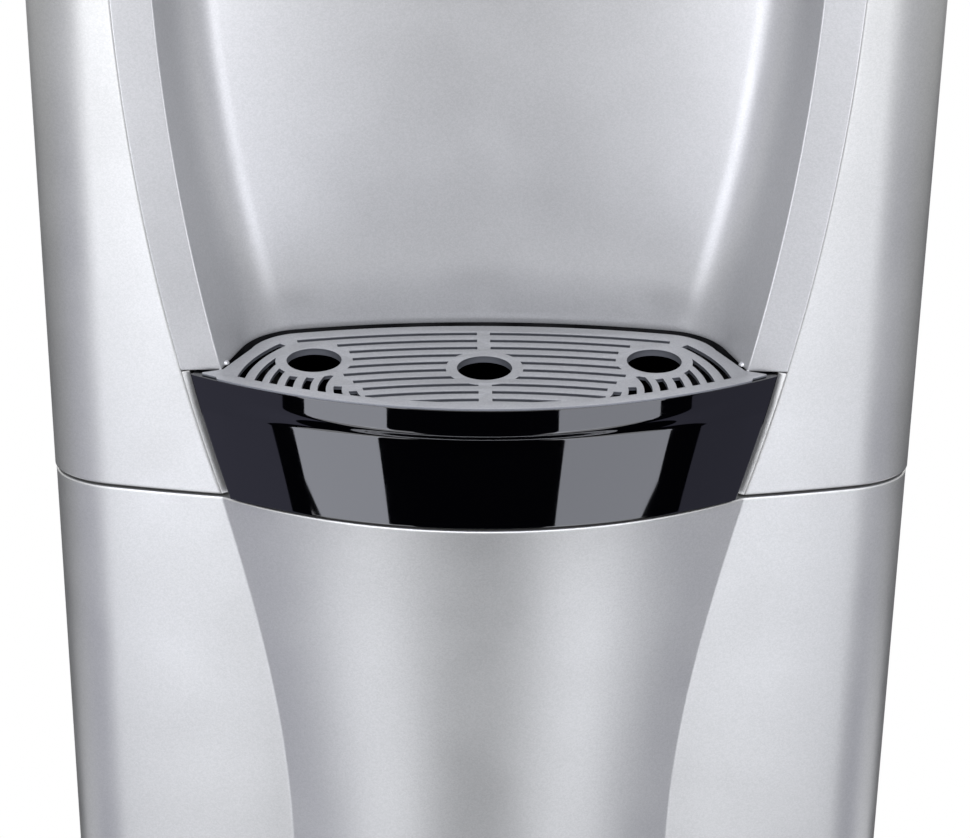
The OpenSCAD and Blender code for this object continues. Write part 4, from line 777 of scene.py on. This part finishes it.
def buildDoor(size):
    low, high, e = size["bottom"], size["top"], size["edge"]
    levels = easedLevels(low, e, -1, 4)[::-1]
    levels += [(z, 0.0) for z in held(low + e, high - e, size["rows"], size["near"])[1:-1]]
    levels += easedLevels(high, e, 1, 4)
    rows = [doorRun(size, z, inset) for z, inset in levels]
    piece = lofted("doorSkin", rows, [z for z, inset in levels], paint)
    carve(piece, boxPiece("pocketCutter", size["pocket"], size["pocketEase"]))
    seat(settle(piece), "door", "silver_abs", "door_skin")


buildDoor(door)

# push-button head: black bowed fascia under the brow
head = {"r": 262.0, "cy": 94.2, "bottom": body["headZ"], "top": body["headTop"] - body["fit"], "back": -95.7,
        "edge": 0.8, "capEdge": 1.6, "easeAngle": 50.0, "rows": 40, "columns": 64, "buttonW": 36.0,
        "buttonH": 30.0, "buttonR": 7.0, "buttonZ": 859.0, "proud": 2.0, "capD": 10.0, "capColumns": 24,
        "capRows": 16, "gap": 0.3, "cutFront": 12.0, "cutBack": 8.0, "lockAt": spouts[2][0], "lockZ": 883.0,
        "lock": (10.0, 6.0), "lockTravel": 6.0, "lockDepth": (-6.0, 8.0)}


def headY(size, x, out=0.0):
    return size["cy"] - sqrt((size["r"] + out) ** 2 - x * x)


def cushionGrid(w, h, r, n):  # columns and rows that fill a rectangle with round corners
    columns = []
    for s in spread(-pi / 2, pi / 2, n):
        x = w / 2 * sin(s)
        over = max(0.0, abs(x) - (w / 2 - r))
        half = h / 2 - r + sqrt(max(0.0, r * r - over * over))
        columns.append((x, half))
    return columns


def buttonShape(name, size, x0, grow, yFront, yBack, material):
    columns = cushionGrid(size["buttonW"] + 2 * grow, size["buttonH"] + 2 * grow, size["buttonR"] + grow,
                          size["capColumns"])
    rows = size["capRows"]
    points, faces = [], []
    for side in (0, 1):
        first = len(points)
        for t in spread(-1.0, 1.0, rows):
            points += [(x0 + x, yBack if side else yFront(x0 + x), size["buttonZ"] + t * half)
                       for x, half in columns]
        sheet = gridFaces(rows + 1, len(columns), first)
        faces += [f[::-1] for f in sheet] if side else sheet
    n, total = len(columns), len(columns) * (rows + 1)
    rim = (list(range(n)) + [i * n + n - 1 for i in range(1, rows + 1)]
           + [rows * n + i for i in range(n - 2, -1, -1)] + [i * n for i in range(rows - 1, 0, -1)])
    faces += [(rim[k], rim[k - 1], rim[k - 1] + total, rim[k] + total) for k in range(len(rim))]
    return makePiece(name, points, faces, material, closed=True)


def buildHead(size):
    levels = spread(size["bottom"], size["top"], size["rows"])
    rows = []
    for z in levels:
        half = mouthX(z, body["fit"])
        arc = [(x, headY(size, x)) for x in spread(-half, half, size["columns"])]
        rows.append([(-half, size["back"])] + arc + [(half, size["back"])])
    fascia = lofted("headFascia", rows, levels, blackGloss)
    cutters = [buttonShape("buttonHole", size, x, size["gap"], lambda at: headY(size, at) - size["cutFront"],
                           headY(size, x) + size["capD"] + size["cutBack"], blackGloss) for x, y in spouts]
    angle = asin(size["lockAt"] / size["r"])
    halfW, halfH, gap = size["lock"][0] / 2, size["lock"][1] / 2, size["gap"]
    slot = boxPiece("lockSlot", (-halfW - gap, halfW + size["lockTravel"] + gap, *size["lockDepth"],
                                 size["lockZ"] - halfH - gap, size["lockZ"] + halfH + gap), 0.0)
    slot.data.transform(Matrix.Translation((0, size["cy"] * mm, 0)) @ Matrix.Rotation(angle, 4, "Z")
                        @ Matrix.Translation((0, -size["r"] * mm, 0)))
    carve(fascia, *cutters, slot)
    easeEdges(fascia, size["edge"], 3, size["easeAngle"])
    seat(settle(fascia), "cabinet", "black_gloss", "head_fascia")
    finishes = (("cold_button", blueAbs, "blue_abs"), ("room_button", greyAbs, "grey_abs"),
                ("hot_button", redAbs, "red_abs"))
    for (x, y), (node, material, slotName) in zip(spouts, finishes):
        cap = buttonShape(node.replace("_b", "B"), size, x, 0.0, lambda at: headY(size, at, size["proud"]),
                          headY(size, x) + size["capD"], material)
        easeEdges(cap, size["capEdge"], 4, size["easeAngle"])
        seat(settle(cap), node, slotName, node)


buildHead(head)

# top cover: the body's plan with a well-rounded edge, open for the collar
cover = {"edge": 7.0, "skirt": 8.0, "openR": 110.0, "tankY": 24.0, "over": 5.0}


def buildCover(size):
    b = body
    levels = [(b["coverZ"], 0.0), (b["coverZ"] + size["skirt"], 0.0)]
    levels += easedLevels(b["coverTop"], size["edge"], 1, 8)
    rows = []
    for z, inset in levels:
        face = arcAt(0.0, b["faceCy"], b["faceR"] - inset, -pi / 2, b["cornerA"], 30)[:-1]
        right = face + cornerRun(inset, b["backY"] - inset, 8)
        rows.append(bothSides(right))
    piece = lofted("topCover", rows, [z for z, inset in levels], paint)
    ring = arcAt(0.0, size["tankY"], size["openR"], 0.0, 2 * pi, 128)[:-1]
    cutter = prism("coverCutter", ring, b["coverZ"] - size["over"], b["coverTop"] + size["over"], paint)
    carve(piece, cutter)
    seat(settle(piece), "cabinet", "silver_abs", "top_cover")


buildCover(cover)

# collar that takes the bottle, turned from a section of radii and heights
collar = {"edge": 0.8, "section": [
    (109.7, 0.0), (118.0, 0.0), (118.0, 5.0), (108.0, 33.0), (107.2, 34.8), (105.6, 35.8), (103.6, 36.0),
    (102.0, 35.4), (101.0, 34.2), (62.0, 2.0), (34.0, -12.0), (34.0, -26.0), (37.0, -26.0), (37.0, -14.0),
    (63.0, -1.5), (106.7, 24.0), (106.7, -6.0), (109.7, -6.0)]}
piece = revolved("bottleCollar", collar["section"], cover["tankY"], body["coverTop"], darkAbs)
easeEdges(piece, collar["edge"], angle=35.0)
seat(settle(piece), "collar", "dark_abs", "bottle_collar")
print("door, head and top made")

# pieces whose shape comes from the frame as it is, shaded smooth, with a finish of their own
carried = {
    "base": darkAbs, "feet": rubber, "left_side_panel": paint, "right_side_panel": paint,
    # the tray well's near-black is partly its moulding and partly painted shade for the gap behind the grille
    "back_panel": zincSheet, "tray_well": wellBlackShade, "feed_probe": whiteAbs,
    "door_liner": whiteAbs, "door_strike": turnedSteel, "door_magnet": rubber, "hinge_pins": turnedSteel,
    "hinge_brackets": zincSheet, "cabinet_liner": whiteAbs, "cabinet_shelf": shelfAbs,
    "lower_deck": zincSheet, "upper_deck": zincSheet, "cold_tank": stainless, "cold_insulation": foam,
    "evaporator_coil": copper, "hot_tank": stainless, "hot_insulation": foam, "heater_band": stainless,
    "thermostats": blackPlastic, "compressor": blackEnamel, "compressor_mounts": rubber,
    "condenser_pipe": blackEnamel, "condenser_brackets": zincSheet,
    "filter_dryer": copper, "refrigerant_pipes": copper, "cold_hose": hoseSilicone, "room_hose": hoseSilicone,
    "hot_hose": hoseSilicone, "cold_valve": whiteAbs, "room_valve": whiteAbs, "hot_valve": whiteAbs,
    "child_lock": redAbs, "indicator_lenses": lensAbs, "control_board": boardGreen,
    "switch_housing": blackPlastic, "hot_switch": redAbs, "cold_switch": greenAbs,
    "power_inlet": blackPlastic, "drain_plugs": greyAbs,
}
slotOf = {part["node"]: part["material_slot"] for part in frame["record"]["subparts"]}
bodyOf = {node: name for name, nodes in frame["record"]["behaviour"]["bodies"].items() for node in nodes}


def smoothCopy(node, material):
    mesh = frame["nodes"][node].data.copy()
    piece = addObject(node + ".smooth", mesh)
    mergeDoubles(mesh, weld["carried"])
    mesh.materials.clear()
    mesh.materials.append(material)
    softShade(piece, sharp=28.0)
    seat(piece, bodyOf[node], slotOf[node], node)


for node, material in carried.items():
    smoothCopy(node, material)
print("carried over:", len(carried))

# condenser wires: upright rods in two rows, set out along a line by geometry nodes
wires = {"count": 15, "radius": 0.8, "sides": 16}


def wireTree(size, measures):
    tree, given = newTree("wireRack", {"Line": "Geometry"}, measures, "Wires")
    index = addNode(tree, "GeometryNodeInputIndex")
    odd = addNode(tree, "ShaderNodeMath", {"operation": "MODULO", 1: 2.0}, {0: index})
    back = addNode(tree, "ShaderNodeMath", {"operation": "MULTIPLY"}, {0: odd, 1: given["Row gap"]})
    shift = addNode(tree, "ShaderNodeCombineXYZ", None, {"Y": back})
    rows = addNode(tree, "GeometryNodeSetPosition", None, {"Geometry": given["Line"], "Offset": shift})
    rod = addNode(tree, "GeometryNodeMeshCylinder", {"Vertices": size["sides"]},
                  {"Radius": given["Wire radius"], "Depth": given["Wire length"]})
    rack = addNode(tree, "GeometryNodeInstanceOnPoints", None, {"Points": rows, "Instance": rod})
    return endTree(tree, given, rack)


def buildWires(size):
    low, high = (Vector(c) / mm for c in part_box("condenser_wires"))
    r = size["radius"]
    # the first wire lies in the rear row
    line = [(x, high.y - r, (low.z + high.z) / 2) for x in spread(low.x + r, high.x - r, size["count"] - 1)]
    piece = plainMesh("condenserWires", line, [])
    measures = {"Wire radius": r, "Wire length": high.z - low.z, "Row gap": low.y - high.y + 2 * r}
    dress(piece, wireTree(size, measures), measures | {"Finish": blackEnamel})
    seat(settle(piece), "cabinet", slotOf["condenser_wires"], "condenser_wires")


buildWires(wires)

# screws at the back: heads with a soft edge and a cross, set out on their places by geometry nodes
screws = {"headR": 3.2, "headT": 1.8, "shaftR": 1.6, "shaftL": 7.9, "cross": 0.8, "crossL": 4.2,
          "crossLift": 0.6, "edge": 0.35, "headSides": 48, "shaftSides": 24,
          "panelIn": 7.0, "panelZ": (274.0, 597.0, 918.0), "coverIn": 20.0, "coverZ": 948.0}


def screwTree(size, measures):
    tree, given = newTree("screwSet", {"Places": "Geometry"}, measures, "Screws")
    disc = addNode(tree, "GeometryNodeMeshCylinder", {"Vertices": size["headSides"]},
                   {"Radius": given["Head radius"], "Depth": given["Head height"]})
    bars = []
    for x, y in (("Cross length", "Cross width"), ("Cross width", "Cross length")):
        bar = addNode(tree, "ShaderNodeCombineXYZ", None,
                      {"X": given[x], "Y": given[y], "Z": given["Head height"]})
        cube = addNode(tree, "GeometryNodeMeshCube", None, {"Size": bar})
        rise = addNode(tree, "ShaderNodeCombineXYZ", None, {"Z": given["Head height"]})
        lift = addNode(tree, "ShaderNodeVectorMath", {"operation": "SCALE", "Scale": size["crossLift"]},
                       {0: rise})
        bars.append(addNode(tree, "GeometryNodeTransform", None, {"Geometry": cube, "Translation": lift}))
    cut = addNode(tree, "GeometryNodeMeshBoolean", {"operation": "DIFFERENCE", "solver": "EXACT"},
                  {"Mesh 1": disc, "Mesh 2": bars})
    shaft = addNode(tree, "GeometryNodeMeshCylinder", {"Vertices": size["shaftSides"]},
                    {"Radius": given["Shaft radius"], "Depth": given["Shaft length"]})
    total = addNode(tree, "ShaderNodeMath", {"operation": "ADD"},
                    {0: given["Shaft length"], 1: given["Head height"]})
    deep = addNode(tree, "ShaderNodeMath", {"operation": "MULTIPLY", 1: -0.5}, {0: total})
    down = addNode(tree, "ShaderNodeCombineXYZ", None, {"Z": deep})
    under = addNode(tree, "GeometryNodeTransform", None, {"Geometry": shaft, "Translation": down})
    whole = addNode(tree, "GeometryNodeJoinGeometry", None, {0: [cut, under]})
    laid = addNode(tree, "GeometryNodeTransform", {"Rotation": (-pi / 2, 0.0, 0.0)},
                   {"Geometry": whole})
    placed = addNode(tree, "GeometryNodeInstanceOnPoints", None,
                     {"Points": given["Places"], "Instance": laid})
    return endTree(tree, given, placed)


def buildScrews(size):
    measures = {"Head radius": size["headR"], "Head height": size["headT"], "Shaft radius": size["shaftR"],
                "Shaft length": size["shaftL"], "Cross width": size["cross"], "Cross length": size["crossL"]}
    tree = screwTree(size, measures)
    sets = (("panelScrews", "panel_screws", size["panelIn"], size["panelZ"]),
            ("coverScrews", "cover_screws", size["coverIn"], (size["coverZ"],)))
    for name, node, inset, heights in sets:
        y = body["backY"] + size["headT"] / 2
        places = [(side * (body["halfW"] - inset), y, z) for side in (-1, 1) for z in heights]
        piece = plainMesh(name, places, [])
        dress(piece, tree, measures | {"Finish": turnedSteel})
        easeEdges(piece, size["edge"], angle=60.0)
        seat(settle(piece), "cabinet", slotOf[node], node)


buildScrews(screws)
print("wires and screws set out")

# stage: pale round floor on a dark studio ground, white surroundings
stage = {"floorR": 270.0, "floorT": 6.0, "floor": ("#e9e9ea", "#efeff0"), "ground": ("#020202", "#030303"),
         "groundZ": -900.0, "groundSize": 9000.0, "ambient": (0.80, 0.82, 0.86, 1.0), "ambientGlow": 0.35}


def buildStage(size):
    ring = arcAt(0.0, 0.0, size["floorR"], 0.0, 2 * pi, 160)[:-1]
    floorPaint = mouldedPlastic("paleStudioBoard", *size["floor"], (0.6, 0.7), 30.0)
    floor = prism("floor", ring, -size["floorT"], 0.0, floorPaint)
    groundPaint = mouldedPlastic("darkStudioGround", *size["ground"], (0.9, 0.95), 60.0)
    groundPaint.node_tree.nodes["Principled BSDF"].inputs["Specular IOR Level"].default_value = 0.0
    half, low = size["groundSize"] / 2, size["groundZ"]
    ground = makePiece("ground", [(-half, -half, low), (half, -half, low), (half, half, low),
                                  (-half, half, low)], [(0, 1, 2, 3)], groundPaint)
    ground.visible_camera = False
    world = bpy.data.worlds.new("studio")
    bpy.context.scene.world = world
    world.use_nodes = True
    tree = world.node_tree
    tree.nodes.clear()
    path = addNode(tree, "ShaderNodeLightPath").outputs
    seen = addNode(tree, "ShaderNodeMath", {"operation": "MAXIMUM"},
                   {0: path["Is Camera Ray"], 1: path["Is Glossy Ray"]})
    seen = addNode(tree, "ShaderNodeMath", {"operation": "MAXIMUM"},
                   {0: seen, 1: path["Is Transmission Ray"]})
    plain = addNode(tree, "ShaderNodeBackground", {"Color": size["ambient"], "Strength": size["ambientGlow"]})
    white = addNode(tree, "ShaderNodeBackground", {"Color": (1.0, 1.0, 1.0, 1.0), "Strength": 1.0})
    mix = addNode(tree, "ShaderNodeMixShader", None, {0: seen, 1: plain, 2: white})
    addNode(tree, "ShaderNodeOutputWorld", None, {0: mix})


buildStage(stage)

# boxes in pairs left and right of the front, in metres, each side with its x, width and glow
pairs = {
    "strip": {"y": -0.83, "z": 0.19, "turn": 0.0, "height": 0.34, "tint": "#f0f3ff",
              "Left": (-0.448, 0.328, 3.57), "Right": (0.430, 0.398, 3.05)},
    "side": {"y": -0.64, "z": -0.195, "turn": 49.0, "height": 1.11, "tint": "#dcdcff",
             "Left": (-0.95, 0.58, 0.48), "Right": (1.037, 0.58, 0.36)},
    "high": {"y": -0.8947, "z": 0.655, "turn": 28.0, "height": 0.59, "tint": "#f8f9ff",
             "Left": (-0.4225, 0.383, 4.65), "Right": (0.4225, 0.383, 3.45)},
    "low": {"y": -0.8947, "z": -0.365, "turn": 28.0, "height": 0.77, "tint": "#f8f9ff",
            "Left": (-0.4225, 0.383, 2.06), "Right": (0.4225, 0.383, 2.03)},
    "beside": {"y": -0.1314, "z": -0.365, "turn": 88.0, "height": 0.77, "tint": "#f8f9ff",
               "Left": (-0.8995, 0.516, 1.08), "Right": (0.8995, 0.516, 1.45)},
}
# two boxes above the front and two behind, each aimed at a point
singles = {
    "overhead": {"place": (0.0, -0.5, 2.3), "aim": (0.0, -0.1, 0.6), "size": (1.6, 1.2), "glow": 3.0,
                 "tint": "#eff2ff"},
    "frontTop": {"place": (0.0, -0.9, 1.9), "aim": (0.0, -0.1, 0.65), "size": (2.0, 1.0), "glow": 4.6,
                 "tint": "#eff2ff"},
    "backLeft": {"place": (-1.1, 1.3, 1.5), "aim": (0.0, 0.0, 0.5), "size": (0.8, 1.2), "glow": 1.6,
                 "tint": "#ffffff"},
    "backRight": {"place": (1.1, 1.3, 1.5), "aim": (0.0, 0.0, 0.5), "size": (0.8, 1.2), "glow": 1.6,
                  "tint": "#ffffff"},
}


def addLamp(name, place, ahead, size, glow, tint):
    data = bpy.data.lights.new(name, "AREA")
    data.shape = "RECTANGLE"
    data.size, data.size_y = size
    data.energy = glow * pi * size[0] * size[1]
    data.color = toLinear(tint)[:3]
    light = addObject(name, data)
    light.visible_camera = False
    light.location = place
    light.rotation_euler = ahead.to_track_quat("-Z", "Y").to_euler()


def buildLamps():
    for name, pair in pairs.items():
        for side in ("Left", "Right"):
            x, width, glow = pair[side]
            turn = radians(copysign(pair["turn"], x))
            ahead = Vector((-sin(turn), cos(turn), 0.0))
            place, size = (x, pair["y"], pair["z"]), (width, pair["height"])
            addLamp(name + side, place, ahead, size, glow, pair["tint"])
    for name, lamp in singles.items():
        ahead = Vector(lamp["aim"]) - Vector(lamp["place"])
        addLamp(name, lamp["place"], ahead, lamp["size"], lamp["glow"], lamp["tint"])


buildLamps()

# camera where the photograph was taken from
view = {"place": (-17.32, -1036.85, 1031.04), "pitch": 26.628, "yaw": 1.126, "roll": 0.669,
        "lens": 104.936, "sensor": 36.0, "near": 0.02}


def buildCamera(size):
    data = bpy.data.cameras.new("camera")
    data.sensor_fit = "HORIZONTAL"
    data.sensor_width = size["sensor"]
    data.lens = size["lens"]
    data.clip_start = size["near"]
    camera = addObject("camera", data)
    pitch, yaw, roll = (radians(size[k]) for k in ("pitch", "yaw", "roll"))
    ahead = Vector((sin(yaw), cos(yaw), 0.0))
    forward = ahead * cos(pitch) + Vector((0, 0, -sin(pitch)))
    right = Vector((cos(yaw), -sin(yaw), 0.0))
    up = ahead * sin(pitch) + Vector((0, 0, cos(pitch)))
    right2 = right * cos(roll) + up * sin(roll)
    up2 = up * cos(roll) - right * sin(roll)
    turn = Matrix((right2, up2, -forward)).transposed()
    camera.matrix_world = Matrix.Translation(Vector(size["place"]) * mm) @ turn.to_4x4()
    bpy.context.scene.camera = camera


buildCamera(view)
bpy.context.scene.view_settings.view_transform = "Standard"

print("stage, lamps and camera set")
